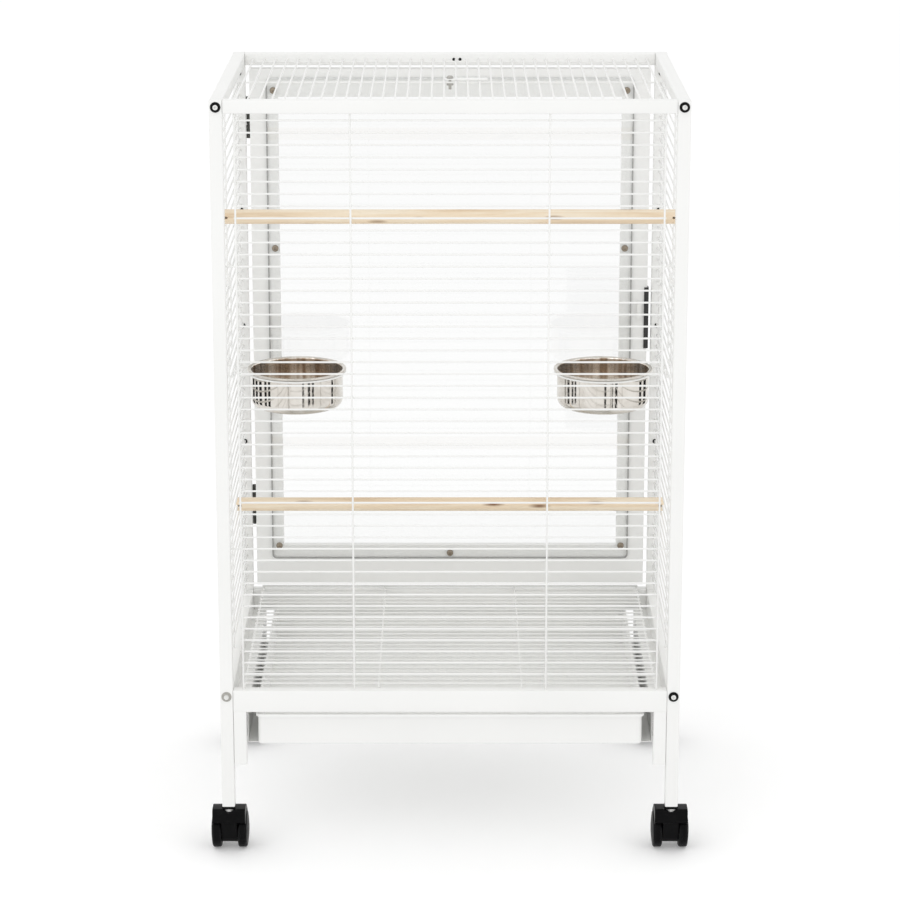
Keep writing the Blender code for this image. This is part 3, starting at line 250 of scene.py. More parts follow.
def new_material(name, colour, roughness, metallic=0.0):
    material = bpy.data.materials.new(name)
    material.use_nodes = True
    shader = material.node_tree.nodes["Principled BSDF"]
    set_inputs(shader, {"Base Color": (*colour, 1), "Roughness": roughness, "Metallic": metallic})
    return material, shader


def place_node(material, stretch):
    """The piece's own coordinates, stretched."""
    coordinates = add_node(material, "ShaderNodeTexCoord")
    mapping = add_node(material, "ShaderNodeMapping", {"Scale": stretch})
    link(material, coordinates.outputs["Object"], mapping.inputs["Vector"])
    return mapping.outputs["Vector"]


def own_place(material, axis):
    """One of the piece's own coordinates."""
    coordinates = add_node(material, "ShaderNodeTexCoord")
    split = add_node(material, "ShaderNodeSeparateXYZ")
    link(material, coordinates.outputs["Object"], split.inputs["Vector"])
    return split.outputs[axis]


def noise_node(material, scale, detail=3.0, distortion=0.0, stretch=(1, 1, 1)):
    values = {"Scale": scale, "Detail": detail, "Distortion": distortion}
    noise = add_node(material, "ShaderNodeTexNoise", values)
    link(material, place_node(material, stretch), noise.inputs["Vector"])
    return noise.outputs["Fac"]


def ramp_node(material, value, stops):
    """A colour ramp through (place, colour) stops."""
    ramp = add_node(material, "ShaderNodeValToRGB")
    elements = ramp.color_ramp.elements
    while len(elements) < len(stops):
        elements.new(0.5)
    for element, (place, colour) in zip(elements, stops):
        element.position = place
        element.color = (*colour, 1)
    link(material, value, ramp.inputs["Fac"])
    return ramp.outputs["Color"]


def range_node(material, value, low, high, start=0.0, finish=1.0):
    """Takes the range from start to finish onto the one from low to high."""
    values = {"From Min": start, "From Max": finish, "To Min": low, "To Max": high}
    scaled = add_node(material, "ShaderNodeMapRange", values)
    link(material, value, scaled.inputs["Value"])
    return scaled.outputs["Result"]


def set_colour(material, shader, value, stops):
    link(material, ramp_node(material, value, stops), shader.inputs["Base Color"])


def set_roughness(material, shader, value, low, high):
    link(material, range_node(material, value, low, high), shader.inputs["Roughness"])


def set_bump(material, shader, value, distance, strength):
    bump = add_node(material, "ShaderNodeBump", {"Distance": distance, "Strength": strength})
    link(material, value, bump.inputs["Height"])
    link(material, bump.outputs["Normal"], shader.inputs["Normal"])


# Materials

def make_powder_coat():
    """White powder coat with a fine orange peel and slightly uneven tone."""
    material, shader = new_material("powder_coat_white", (0.90, 0.90, 0.885), 0.38)
    tones = [(0.3, (0.902, 0.904, 0.888)), (0.7, (0.926, 0.926, 0.912))]
    set_colour(material, shader, noise_node(material, 7.0, 2.0), tones)
    set_roughness(material, shader, noise_node(material, 60.0), 0.32, 0.44)
    set_bump(material, shader, noise_node(material, 850.0, 2.0), 0.00004, 0.7)
    return material


def make_steel(name, tone_stretch, tones, shine, metallic=1.0):
    """Polished steel with fine spun lines round the bowl's axis, an uneven tone and a satin bottom; on the
    bowls' inner walls the tone is stretched into streaks of painted reflection.
    """
    material, shader = new_material(name, tones[0], 0.08, metallic)
    lines = noise_node(material, 1.0, 4.0, stretch=(18, 18, 2600))
    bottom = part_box("bowl_left")[0].z
    height = own_place(material, "Z")
    satin = range_node(material, height, 0.36, 0.0, bottom + SATIN_LOW, bottom + SATIN_HIGH)
    rough = math_node(material, "ADD", range_node(material, lines, *shine), satin)
    link(material, rough, shader.inputs["Roughness"])
    tone = noise_node(material, 1.0, distortion=0.3, stretch=tone_stretch)
    set_colour(material, shader, tone, [(0.38, tones[0]), (0.62, tones[1])])
    set_bump(material, shader, lines, 0.000004, 0.5)
    return material


def make_grained(name, colour, roughness, metallic=1.0):
    """Brushed grain, for plated or blackened fasteners and for the sheet's sawn edge, where the colour is
    painted shade and painted light.
    """
    material, shader = new_material(name, colour, roughness, metallic)
    grain = noise_node(material, 900.0)
    set_roughness(material, shader, grain, roughness * 0.75, roughness * 1.3)
    dark = tuple(c * 0.82 for c in colour)
    set_colour(material, shader, noise_node(material, 260.0), [(0.3, dark), (0.6, colour)])
    set_bump(material, shader, grain, 0.00001, 0.5)
    return material


def make_plastic(name, colour, roughness, grain_scale, grain_depth, gloss=0.5):
    """Moulded plastic or black paint with a fine grain."""
    material, shader = new_material(name, colour, roughness)
    shader.inputs["Specular IOR Level"].default_value = gloss
    grain = noise_node(material, grain_scale)
    set_roughness(material, shader, grain, roughness * 0.85, roughness * 1.2)
    light = tuple(c * 1.7 for c in colour)
    set_colour(material, shader, noise_node(material, 40.0), [(0.3, colour), (0.75, light)])
    set_bump(material, shader, grain, grain_depth, 0.8)
    return material


def make_latch():
    """Black lever outside the door, and a plated tongue on its inside."""
    black = (0.018, 0.018, 0.018)
    material, shader = new_material("latch_black_and_zinc", black, 0.38)
    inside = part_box("door_frame")[0].y
    outward = range_node(material, own_place(material, "Y"), 0.0, 1.0, inside, inside + 0.001)
    set_colour(material, shader, outward, [(0.3, (0.86, 0.86, 0.84)), (0.7, black)])
    grain = noise_node(material, 700.0)
    set_roughness(material, shader, grain, 0.32, 0.46)
    set_bump(material, shader, grain, 0.00002, 0.6)
    return material


def make_acrylic():
    """Clear sheet with a faint grey tint and the faintest haze of wiping marks."""
    material, shader = new_material("clear_acrylic_sheet", (0.935, 0.938, 0.936), 0.02)
    set_inputs(shader, {"Transmission Weight": 1.0, "IOR": 1.49})
    haze = noise_node(material, 1.0, 4.0, 0.6, (3, 3, 22))
    set_roughness(material, shader, haze, 0.0, 0.05)
    # The studio's light reaches what lies behind the sheet
    path = add_node(material, "ShaderNodeLightPath")
    open_way = add_node(material, "ShaderNodeBsdfTransparent", {"Color": (0.992, 0.993, 0.992, 1)})
    mix = add_node(material, "ShaderNodeMixShader")
    either = math_node(material, "MAXIMUM", path.outputs["Is Shadow Ray"], path.outputs["Is Diffuse Ray"])
    link(material, either, mix.inputs["Fac"])
    link(material, shader.outputs["BSDF"], mix.inputs[1])
    link(material, open_way.outputs["BSDF"], mix.inputs[2])
    link(material, mix.outputs["Shader"], material.node_tree.nodes["Material Output"].inputs["Surface"])
    return material


def make_pine():
    """Turned pine: long grain along the perch, darker growth rings and a few knots."""
    material, shader = new_material("pine_wood", (0.78, 0.62, 0.43), 0.6)
    grain = noise_node(material, 1.0, 5.0, 0.7, (5, 95, 95))
    pale = ramp_node(material, grain, [
        (0.30, (0.72, 0.54, 0.36)), (0.46, (0.86, 0.70, 0.51)),
        (0.60, (0.91, 0.79, 0.62)), (0.8, (0.93, 0.84, 0.70)),
    ])
    knots = add_node(material, "ShaderNodeTexVoronoi", {"Scale": 1.0})
    link(material, place_node(material, (13, 60, 60)), knots.inputs["Vector"])
    mask = ramp_node(material, knots.outputs["Distance"], [(0.05, (1, 1, 1)), (0.23, (0, 0, 0))])
    mix = add_node(material, "ShaderNodeMix", data_type="RGBA")
    link(material, mask, mix.inputs["Factor"])
    link(material, pale, mix.inputs["A"])
    mix.inputs["B"].default_value = (0.24, 0.12, 0.055, 1)
    link(material, mix.outputs["Result"], shader.inputs["Base Color"])
    set_roughness(material, shader, grain, 0.68, 0.5)
    set_bump(material, shader, grain, 0.00025, 0.5)
    return material


COAT = make_powder_coat()
STEEL = make_steel(
    "polished_steel", (45, 45, 45), ((0.60, 0.565, 0.515), (0.71, 0.68, 0.635)), (0.03, 0.09)
)
# The bowls' inner walls: dark warm and bright tones stretched into upright streaks, painted reflection
STEEL_PAINTED_REFLECTION = make_steel(
    "steel_painted_reflection", (130, 130, 4), ((0.50, 0.40, 0.31), (0.95, 0.92, 0.87)), (0.08, 0.16), 0.9
)
ZINC = make_grained("bright_zinc", (0.72, 0.72, 0.70), 0.26)
DARK_ZINC = make_grained("black_zinc", (0.014, 0.014, 0.014), 0.38)
GREY_ZINC = make_grained("grey_zinc", (0.46, 0.45, 0.42), 0.40)
AGED_ZINC = make_grained("aged_zinc", (0.34, 0.29, 0.23), 0.42)
HINGE_STEEL = make_grained("hinge_steel", (0.13, 0.13, 0.12), 0.42)
LATCH_FINISH = make_latch()
BLACK_METAL = make_plastic("satin_black_metal", (0.018, 0.018, 0.018), 0.36, 700.0, 0.00002)
SATIN_ZINC = make_grained("satin_zinc", (0.88, 0.88, 0.86), 0.5, 0.35)
NYLON = make_plastic("black_nylon", (0.0022, 0.0022, 0.0024), 0.34, 1500.0, 0.00002, 0.07)
TREAD = make_plastic("black_tread_rubber", (0.003, 0.003, 0.0033), 0.40, 1100.0, 0.00003, 0.10)
# The sheet's edge: grey painted shade at its sides and bottom, pale painted light at its top, where the
# light falls in
GREY_EDGE_PAINTED_SHADE = make_grained("acrylic_edge_painted_shade", (0.40, 0.40, 0.39), 0.30, 0.0)
PALE_EDGE_PAINTED_LIGHT = make_grained("acrylic_edge_painted_light", (0.80, 0.81, 0.80), 0.30, 0.0)
ACRYLIC = make_acrylic()
PINE = make_pine()


# Outlines

def rounded_loop(half_u, half_v, radius, steps=4):
    """A rounded rectangle round the origin, as (u, v) points."""
    points = []
    for u, v, start in ((1, 1, 0), (-1, 1, 90), (-1, -1, 180), (1, -1, 270)):
        points += arc((u * (half_u - radius), v * (half_v - radius)), radius, start, start + 90, steps)
    return points


def arc(centre, radius, start, finish, steps):
    """Points on an arc, its ends in degrees."""
    points = []
    for i in range(steps + 1):
        turn = math.radians(start + (finish - start) * i / steps)
        points.append((centre[0] + radius * math.cos(turn), centre[1] + radius * math.sin(turn)))
    return points


def on_axis(axis, place, centre, outline):
    """Puts (u, v) points round a centre into the plane across an axis."""
    points = []
    for u, v in outline:
        point = [u, v]
        point.insert(axis, 0)
        point = Vector(centre) + Vector(point)
        point[axis] = place
        points.append(point)
    return points


def directions(axis):
    """Two directions square to an axis and to each other."""
    seed = X_AXIS if abs(axis.x) < 0.5 else Z_AXIS
    across = (seed - axis * seed.dot(axis)).normalized()
    return across, axis.cross(across)


def around(centre, across, up, radius, steps):
    """Points on a circle, from `across` toward `up`."""
    turns = (2 * math.pi * i / steps for i in range(steps))
    return [centre + (across * math.cos(turn) + up * math.sin(turn)) * radius for turn in turns]


def frame_along(points):
    """Unit tangents and normals along a line, turned as little as can be."""
    tangents = []
    for i in range(len(points)):
        before = points[i] - points[i - 1] if i else points[1] - points[0]
        after = points[i + 1] - points[i] if i + 1 < len(points) else before
        tangents.append((before.normalized() + after.normalized()).normalized())
    seed = Z_AXIS if abs(tangents[0].z) < 0.9 else X_AXIS
    normal = (seed - tangents[0] * seed.dot(tangents[0])).normalized()
    normals = []
    for tangent in tangents:
        normal = (normal - tangent * normal.dot(tangent)).normalized()
        normals.append(normal)
    return tangents, normals


def filleted(points, radius):
    """Rounds the inner corners of a line."""
    points = [Vector(point) for point in points]
    result = [points[0]]
    for before, corner, after in zip(points, points[1:], points[2:]):
        start = corner + (before - corner).normalized() * radius
        finish = corner + (after - corner).normalized() * radius
        for t in (0, 0.2, 0.4, 0.6, 0.8, 1):
            result.append(start * (1 - t) ** 2 + corner * 2 * t * (1 - t) + finish * t ** 2)
    result.append(points[-1])
    return result


# Mesh helpers: each adds a closed shape to a bmesh

def vertex_rings(shape, loops):
    return [[shape.verts.new(point) for point in loop] for loop in loops]


def join(shape, rings):
    """Faces between each ring of vertices and the next."""
    count = len(rings[0])
    for lower, upper in zip(rings, rings[1:]):
        for i in range(count):
            j = (i + 1) % count
            shape.faces.new((lower[i], lower[j], upper[j], upper[i]))


def loft(shape, loops):
    """Joins loops of equal length in order and closes both ends."""
    rings = vertex_rings(shape, loops)
    join(shape, rings)
    shape.faces.new(rings[0])
    shape.faces.new(rings[-1])


def band(shape, loops):
    """Joins loops of equal length in a circle, the last one to the first."""
    rings = vertex_rings(shape, loops)
    join(shape, rings + rings[:1])


def prism(shape, outline, axis, low, high):
    """Extrudes (u, v) points along an axis."""
    loft(shape, [on_axis(axis, place, (0, 0, 0), outline) for place in (low, high)])


def tube_bar(shape, axis, low, high, radius=TUBE_ROUND):
    """A rounded tube that fills the box from low to high, its ends along an axis."""
    half_u, half_v = [(high[i] - low[i]) / 2 for i in range(3) if i != axis]
    first, last = low[axis], high[axis]
    steps = ((first, TUBE_END), (first + TUBE_END, 0), (last - TUBE_END, 0), (last, TUBE_END))
    loft(shape, [
        on_axis(axis, place, (low + high) / 2, rounded_loop(half_u - inset, half_v - inset, radius))
        for place, inset in steps
    ])


def upright_tube(shape, centre, steps):
    """A square tube through (height, inset) steps."""
    loops = []
    for z, inset in steps:
        half = TUBE / 2 - inset
        radius = max(TUBE_ROUND - inset, TUBE_INNER_ROUND)
        loops.append(on_axis(2, z, centre, rounded_loop(half, half, radius)))
    loft(shape, loops)


def wire(shape, points, radius=WIRE):
    """A round wire along points, with domed ends."""
    points = [Vector(point) for point in points]
    tangents, normals = frame_along(points)
    last = len(points) - 1
    steps = [(0, WIRE_TIP, 0), (0, 1, WIRE_DOME)]
    steps += [(i, 1, 0) for i in range(1, last)]
    steps += [(last, 1, -WIRE_DOME), (last, WIRE_TIP, 0)]
    loops = []
    for i, share, along in steps:
        centre = points[i] + tangents[i] * (radius * along)
        loops.append(around(centre, normals[i], tangents[i].cross(normals[i]), radius * share, WIRE_SIDES))
    loft(shape, loops)


def lathe(shape, profile, centre, axis, steps):
    """Turns a profile of (radius, place) round an axis. Its ends lie on the axis."""
    centre = Vector(centre)
    across, up = directions(axis)
    tips = [shape.verts.new(centre + axis * profile[end][1]) for end in (0, -1)]
    rings = vertex_rings(shape, [
        around(centre + axis * place, across, up, radius, steps) for radius, place in profile[1:-1]
    ])
    for tip, ring in zip(tips, (rings[0], rings[-1])):
        for i in range(steps):
            shape.faces.new((tip, ring[i], ring[(i + 1) % steps]))
    join(shape, rings)


def closed_lathe(shape, section, centre, axis, steps):
    """Turns a closed section of (radius, place) points round an axis that it doesn't meet."""
    centre = Vector(centre)
    outward = around(Vector(), *directions(axis), 1, steps)
    band(shape, [[centre + axis * place + out * radius for radius, place in section] for out in outward])


def rod(shape, centre, axis, low, high, end, steps):
    """A turned rod from low to high, with the same steps of (radius, inset) at both ends."""
    profile = [(0, low)] + [(radius, low + inset) for radius, inset in end]
    profile += [(radius, high - inset) for radius, inset in reversed(end)] + [(0, high)]
    lathe(shape, profile, centre, axis, steps)


def weld(shape, centre, ridge):
    """The flattened bead where two crossing wires melt together."""
    slant = math.sqrt(0.5)
    profile = ((0, -1), (slant, -slant), (1, 0), (slant, slant), (0, 1))
    lathe(shape, [(r * WELD_RADIUS, h * WELD_HALF) for r, h in profile], centre, ridge, 8)


def bearer(shape, ends, axis, places, toward):
    """A wire along an axis, welded at these places to the wires that lie toward one side."""
    wire(shape, ends)
    for place in places:
        crossing = Vector(ends[0]) + toward * (WIRE_CROSSING / 2)
        crossing[axis] = place
        weld(shape, crossing, toward)


def screw(shape, centre, radius, height):
    """A pan head that faces the front, with a recess sunk in its top."""
    profile = (
        (0, 0.55), (0.30, 0.55), (0.36, 0.98), (0.62, 1),
        (0.84, 0.82), (0.96, 0.5), (1, 0.15), (1, 0), (0, 0),
    )
    lathe(shape, [(r * radius, h * height) for r, h in profile], centre, -Y_AXIS, 20)


# Pieces

def add_object(name, data):
    added = bpy.data.objects.new(name, data)
    bpy.context.scene.collection.objects.link(added)
    return added


def mesh_object(name, shape):
    """Turns a bmesh into an object."""
    mesh = bpy.data.meshes.new(name)
    shape.to_mesh(mesh)
    shape.free()
    return add_object(name, mesh)


def shade(mesh, sharp=SHARP_ANGLE):
    mesh.shade_smooth()
    mesh.set_sharp_from_angle(angle=math.radians(sharp))


def make_piece(name, shape, material, body, slot, *replaced, sharp=SHARP_ANGLE):
    bmesh.ops.recalc_face_normals(shape, faces=shape.faces)
    piece = mesh_object(name, shape)
    piece.data.materials.append(material)
    shade(piece.data, sharp)
    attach(piece, body)
    if replaced:
        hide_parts(*replaced)
    return piece


def make_coated(name, shape, node, body="cage", sharp=SHARP_ANGLE):
    """A powder-coated piece in the place of a CAD node."""
    make_piece(name, shape, COAT, body, "white_powder_coat", node, sharp=sharp)


def soften(piece, width, segments=3):
    """Rounds a piece's edges."""
    bevel = piece.modifiers.new("Edges", "BEVEL")
    bevel.width = width
    bevel.segments = segments
    bevel.limit_method = "ANGLE"
    bevel.angle_limit = math.radians(SOFT_ANGLE)


def cut_away(piece, cutter_shape):
    """Cuts a closed shape out of a piece and keeps the result as its mesh."""
    bmesh.ops.recalc_face_normals(cutter_shape, faces=cutter_shape.faces)
    cutter = mesh_object("cutter", cutter_shape)
    modifier = piece.modifiers.new("Cut", "BOOLEAN")
    modifier.operation = "DIFFERENCE"
    modifier.object = cutter
    evaluated = piece.evaluated_get(bpy.context.evaluated_depsgraph_get())
    cut_mesh = bpy.data.meshes.new_from_object(evaluated)
    piece.modifiers.clear()
    piece.data = cut_mesh
    shade(cut_mesh)
    bpy.data.objects.remove(cutter, do_unlink=True)


# Frame of square tube

def make_posts():
    """Posts with rounded corners and a pressed-in cap on top."""
    for corner in CORNERS:
        low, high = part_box(f"post_{corner}")
        top = high.z
        shape = bmesh.new()
        upright_tube(shape, (low + high) / 2, (
            (low.z, TUBE_END), (low.z + TUBE_END, 0), (top - 0.0006, 0), (top - 0.0002, 0.00018),
            (top, 0.0006), (top, TUBE_WALL - 0.0001), (top - 0.0004, TUBE_WALL),
            (top - 0.0004, TUBE_WALL + 0.00025), (top - 0.0001, TUBE_WALL + 0.0003),
            (top, TUBE_WALL + 0.0007),
        ))
        make_coated(f"corner_post_{corner}", shape, f"post_{corner}")


def make_top_rails():
    for name, axis in (("front", 0), ("rear", 0), ("left", 1), ("right", 1)):
        shape = bmesh.new()
        tube_bar(shape, axis, *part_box(f"top_rail_{name}"))
        make_coated(f"roof_tube_{name}", shape, f"top_rail_{name}")


def make_cross_rails():
    """Front and rear base rails with open-ended stub tubes beside the legs."""
    for name in ("front", "rear"):
        low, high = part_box(f"base_rail_{name}")
        rail_low = Vector((low.x, low.y, high.z - BASE_RAIL_HEIGHT))
        shape = bmesh.new()
        tube_bar(shape, 0, rail_low, high)
        for side in (-1, 1):
            upright_tube(shape, (side * (high.x - TUBE / 2), (low.y + high.y) / 2, 0), (
                (rail_low.z + 0.0008, 0), (low.z + TUBE_END, 0), (low.z, TUBE_END),
                (low.z, TUBE_WALL), (low.z + TUBE * 2, TUBE_WALL),
            ))
        make_coated(f"base_tube_{name}", shape, f"base_rail_{name}")


def make_side_rails():
    """Side base rails with the bent runners that carry the tray."""
    for name, side in SIDES.items():
        low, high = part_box(f"base_rail_{name}")
        inner, outer = sorted((abs(low.x), abs(high.x)))
        rail_low = high.z - BASE_RAIL_HEIGHT
        ends = sorted((side * outer, side * (outer - TUBE)))
        shape = bmesh.new()
        tube_bar(shape, 1, Vector((ends[0], low.y, rail_low)), Vector((ends[1], high.y, high.z)))
        web = inner + RUNNER_LEDGE
        top = rail_low + RUNNER_INSET
        fold = (web + RUNNER_FOLD, top - RUNNER_SHEET - RUNNER_FOLD)
        bend = (web - RUNNER_BEND, low.z + RUNNER_BEND)
        outline = [(web + RUNNER_FLANGE, top), (web + RUNNER_FLANGE, top - RUNNER_SHEET)]
        outline += arc(fold, RUNNER_FOLD, 90, 180, 3)
        outline += arc(bend, RUNNER_BEND, 0, -90, 4)
        outline += [(inner, low.z), (inner, low.z + RUNNER_SHEET)]
        outline += arc(bend, RUNNER_BEND - RUNNER_SHEET + 0.0002, -90, 0, 3)
        outline += arc(fold, RUNNER_FOLD + RUNNER_SHEET, 180, 90, 4)
        prism(shape, [(side * x, z) for x, z in outline], 1, low.y + RUNNER_INSET, high.y - RUNNER_INSET)
        make_coated(f"base_tube_{name}", shape, f"base_rail_{name}")


# Wire panels

def make_front_wires():
    shape = bmesh.new()
    for i, z in enumerate(levels):
        reach = inner_x + INTO_TUBE if i in FRONT_HOOKS else FRONT_UPRIGHTS[-1] + WIRE_END
        wire(shape, [(-reach, -post_y, z), (reach, -post_y, z)])
    y = -post_y - WIRE_CROSSING
    for x in FRONT_UPRIGHTS:
        bearer(shape, [(x, y, base_top - INTO_TUBE), (x, y, roof_low + INTO_TUBE)], 2, levels, Y_AXIS)
    make_coated("front_wires", shape, "front_panel")


def make_side_wires(name, side):
    shape = bmesh.new()
    x = side * post_x
    reach = inner_y + INTO_TUBE
    for i, z in enumerate(levels):
        if FEEDER_TOP_WIRE < i < FEEDER_TOP_WIRE + FEEDER_ROWS:
            wire(shape, [(x, -reach, z), (x, feeder_near + WIRE_END, z)])
            wire(shape, [(x, feeder_far - WIRE_END, z), (x, reach, z)])
        else:
            wire(shape, [(x, -reach, z), (x, reach, z)])
    out = x + side * WIRE_CROSSING
    for y in (-border_y, feeder_near, feeder_far, border_y):
        ends = [(out, y, base_top - INTO_TUBE), (out, y, roof_low + INTO_TUBE)]
        bearer(shape, ends, 2, levels, -side * X_AXIS)
    make_coated(f"side_wires_{name}", shape, f"side_panel_{name}")


def make_roof_wires():
    shape = bmesh.new()
    z = roof_top - TUBE / 2
    reach = inner_y + INTO_TUBE
    places = [(i - (ROOF_WIRES - 1) / 2) * WIRE_PITCH for i in range(ROOF_WIRES)]
    for x in places:
        wire(shape, [(x, -reach, z), (x, reach, z)])
    across = places[-1] + WIRE_END
    below = z - WIRE_CROSSING
    for y in (-border_y, 0, border_y):
        bearer(shape, [(-across, y, below), (across, y, below)], 0, places, Z_AXIS)
    make_coated("roof_wires", shape, "roof_panel")


def make_grille_wires():
    """The floor grille, with a hand gap between its middle bearers at the far end."""
    low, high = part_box("floor_grille")
    half = high.x - WIRE_END
    z = low.z + WIRE
    top = z + WIRE_CROSSING
    reach = half + WIRE_END
    gap = GRILLE_BEARER_X - WIRE_END
    count = int((high.y - low.y - 2 * GRILLE_END_MARGIN) / WIRE_PITCH) + 1
    rows = [high.y - GRILLE_END_MARGIN - i * WIRE_PITCH for i in range(count)]
    shape = bmesh.new()
    for x in (-half, -GRILLE_BEARER_X, GRILLE_BEARER_X, half):
        bearer(shape, [(x, low.y, z), (x, high.y, z)], 1, rows, Z_AXIS)
    for i, y in enumerate(rows):
        if 0 < i <= GRILLE_PULL_ROWS:
            for side in (-1, 1):
                wire(shape, [(side * gap, y, top), (side * reach, y, top)])
        else:
            wire(shape, [(-reach, y, top), (reach, y, top)])
    make_coated("grille_wires", shape, "floor_grille", "grille")


def make_feeder_door(name, side):
    """The wire door with its two collars and their links."""
    low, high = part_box(f"feeder_door_{name}")
    rows = levels[FEEDER_TOP_WIRE:FEEDER_TOP_WIRE + FEEDER_ROWS + 1]
    axis_x = side * (post_x + WIRE_CROSSING)
    outer = (high.x if side > 0 else low.x) - side * WIRE
    plane = outer - side * WIRE_CROSSING
    near = feeder_near + FEEDER_STILE_INSET
    far = feeder_far + FEEDER_STILE_OVERLAP
    shape = bmesh.new()
    for i, z in enumerate(rows):
        reach = FEEDER_PULL if i == FEEDER_ROWS // 2 else WIRE_END
        wire(shape, [(plane, near - WIRE_END, z), (plane, far + reach, z)])
    for y in (near, (feeder_near + feeder_far) / 2, far):
        ends = [(outer, y, rows[-1] - WIRE_END), (outer, y, rows[0] + WIRE_END)]
        bearer(shape, ends, 2, rows, -side * X_AXIS)
    outline = rounded_loop(COLLAR_HALF_WALL, COLLAR_HALF, COLLAR_EDGE, 1)
    section = [(COLLAR_MIDDLE + u, v) for u, v in outline]
    toward = Vector((outer - axis_x, near - feeder_near, 0)).normalized()
    for row in (0, FEEDER_ROWS - 1):
        centre = Vector((axis_x, feeder_near, (rows[row] + rows[row + 1]) / 2))
        closed_lathe(shape, section, centre, Z_AXIS, 24)
        wire(shape, [centre + toward * COLLAR_MIDDLE, (outer, near, centre.z)], LINK_WIRE)
    make_coated(f"feeder_wires_{name}", shape, f"feeder_door_{name}", f"feeder_{name}")


# Bowls and perches

def make_bowl(name):
    """A spun steel bowl with a rolled rim."""
    node = f"bowl_{name}"
    low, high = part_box(node)
    centre = (low + high) / 2
    bead_z = high.z - BOWL_BEAD
    inside = BOWL_RADIUS - BOWL_WALL
    turn_centre = (BOWL_RADIUS - BOWL_BASE_ROUND, low.z + BOWL_BASE_ROUND)
    profile = [(radius, low.z + up) for radius, up in BOWL_FLOOR]
    profile += arc(turn_centre, BOWL_BASE_ROUND, 272, 360, 10)
    profile += [(BOWL_RADIUS, bead_z - 0.004), (BOWL_RADIUS, bead_z - 0.0017)]
    profile += arc((RING_RADIUS + 0.0002, bead_z), BOWL_BEAD, 215, 480, 12)
    profile += [(BOWL_RADIUS + 0.0002, bead_z + 0.0012), (inside + 0.0002, bead_z + 0.0006)]
    profile += [(inside, bead_z - 0.001)]
    profile += arc(turn_centre, BOWL_BASE_ROUND - BOWL_WALL, 360, 272, 10)
    profile += [(radius, low.z + BOWL_WALL + up) for radius, up in reversed(BOWL_FLOOR)]
    shape = bmesh.new()
    lathe(shape, profile, (centre.x, centre.y, 0), Z_AXIS, 96)
    bowl = make_piece(f"steel_{node}", shape, STEEL, node, "stainless_steel", node, sharp=60)
    # The inner walls take the steel with streaks of painted reflection
    bowl.data.materials.append(STEEL_PAINTED_REFLECTION)
    mouth = Vector((centre.x, centre.y, high.z))
    for face in bowl.data.polygons:
        upright = abs(face.normal.z) < WALL_SLOPE
        if upright and face.normal.dot(mouth - face.center) > 0:
            face.material_index = 1


def make_bowl_ring(name, side):
    """The wire ring that carries the bowl, with two arms that hook over a side wire."""
    low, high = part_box(f"bowl_{name}")
    centre = (low + high) / 2
    ring_z = high.z - 2 * BOWL_BEAD - RING_GAP - RING_WIRE
    shape = bmesh.new()
    section = arc((RING_RADIUS, 0), RING_WIRE, 0, 330, 11)
    closed_lathe(shape, section, (centre.x, centre.y, ring_z), Z_AXIS, 80)
    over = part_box(f"bowl_ring_{name}")[1].z - RING_WIRE
    start = centre.x + side * (math.sqrt(RING_RADIUS ** 2 - RING_ARM_SPREAD ** 2) - RING_WIRE / 2)
    inside = side * (post_x - RING_ARM_BACKSET)
    outside = side * (post_x + RING_ARM_BACKSET)
    for spread in (-RING_ARM_SPREAD, RING_ARM_SPREAD):
        y = centre.y + spread
        points = [
            (start, y, ring_z), (inside, y, ring_z), (inside, y, over), (outside, y, over),
            (outside, y, over - RING_HOOK_DROP),
        ]
        wire(shape, filleted(points, HOOK_BEND), RING_WIRE)
    make_coated(f"bowl_hoop_{name}", shape, f"bowl_ring_{name}")


def make_perches():
    """Turned pine perches with broken edges and a saw kerf over the side wires."""
    end = ((PERCH_RADIUS - 0.0008, 0), (PERCH_RADIUS - 0.0002, 0.0003), (PERCH_RADIUS, 0.0009))
    for name in ("upper", "lower"):
        low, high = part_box(f"perch_{name}")
        half = (high.x - low.x) / 2
        shape = bmesh.new()
        rod(shape, (low + high) / 2, X_AXIS, -half, half, end, 40)
        perch = make_piece(f"pine_perch_{name}", shape, PINE, "cage", "pine", f"perch_{name}")
        kerfs = bmesh.new()
        outline = rounded_loop(2 * PERCH_RADIUS, PERCH_KERF, KERF_ROUND, 2)
        for side in (-1, 1):
            ends = sorted((side * (half - PERCH_KERF_DEPTH), side * (half + PERCH_KERF_DEPTH)))
            loft(kerfs, [on_axis(0, x, (low + high) / 2, outline) for x in ends])
        cut_away(perch, kerfs)


# Tray

def make_tray():
    """A bent sheet tray with rounded corners and a folded lip."""
    low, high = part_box("tray")
    half_x = high.x - TRAY_LIP
    half_y = (high.y - low.y) / 2 - TRAY_LIP
    top = high.z
    lip = top - TRAY_LIP_HEIGHT
    turn_centre = (-TRAY_BEND, low.z + TRAY_BEND)
    steps = arc(turn_centre, TRAY_BEND, -90, 0, 5)
    steps += [(0, lip - 0.0008), (0.0003, lip - 0.0002), (0.0009, lip)]
    steps += [(TRAY_LIP - 0.0006, lip), (TRAY_LIP - 0.00015, lip + 0.0002), (TRAY_LIP, lip + 0.0006)]
    steps += [(TRAY_LIP, top - 0.001), (TRAY_LIP - 0.0003, top - 0.0003), (TRAY_LIP - 0.001, top)]
    steps += [(-TRAY_WALL + 0.0008, top), (-TRAY_WALL + 0.0002, top - 0.0002), (-TRAY_WALL, top - 0.0008)]
    steps += arc(turn_centre, TRAY_BEND - TRAY_WALL, 0, -90, 4)
    centre = (0, (low.y + high.y) / 2, 0)
    shape = bmesh.new()
    loft(shape, [
        on_axis(2, z, centre, rounded_loop(half_x + out, half_y + out, TRAY_CORNER + out, 6))
        for out, z in steps
    ])
    make_coated("sheet_tray", shape, "tray", "tray", sharp=45)


# Door

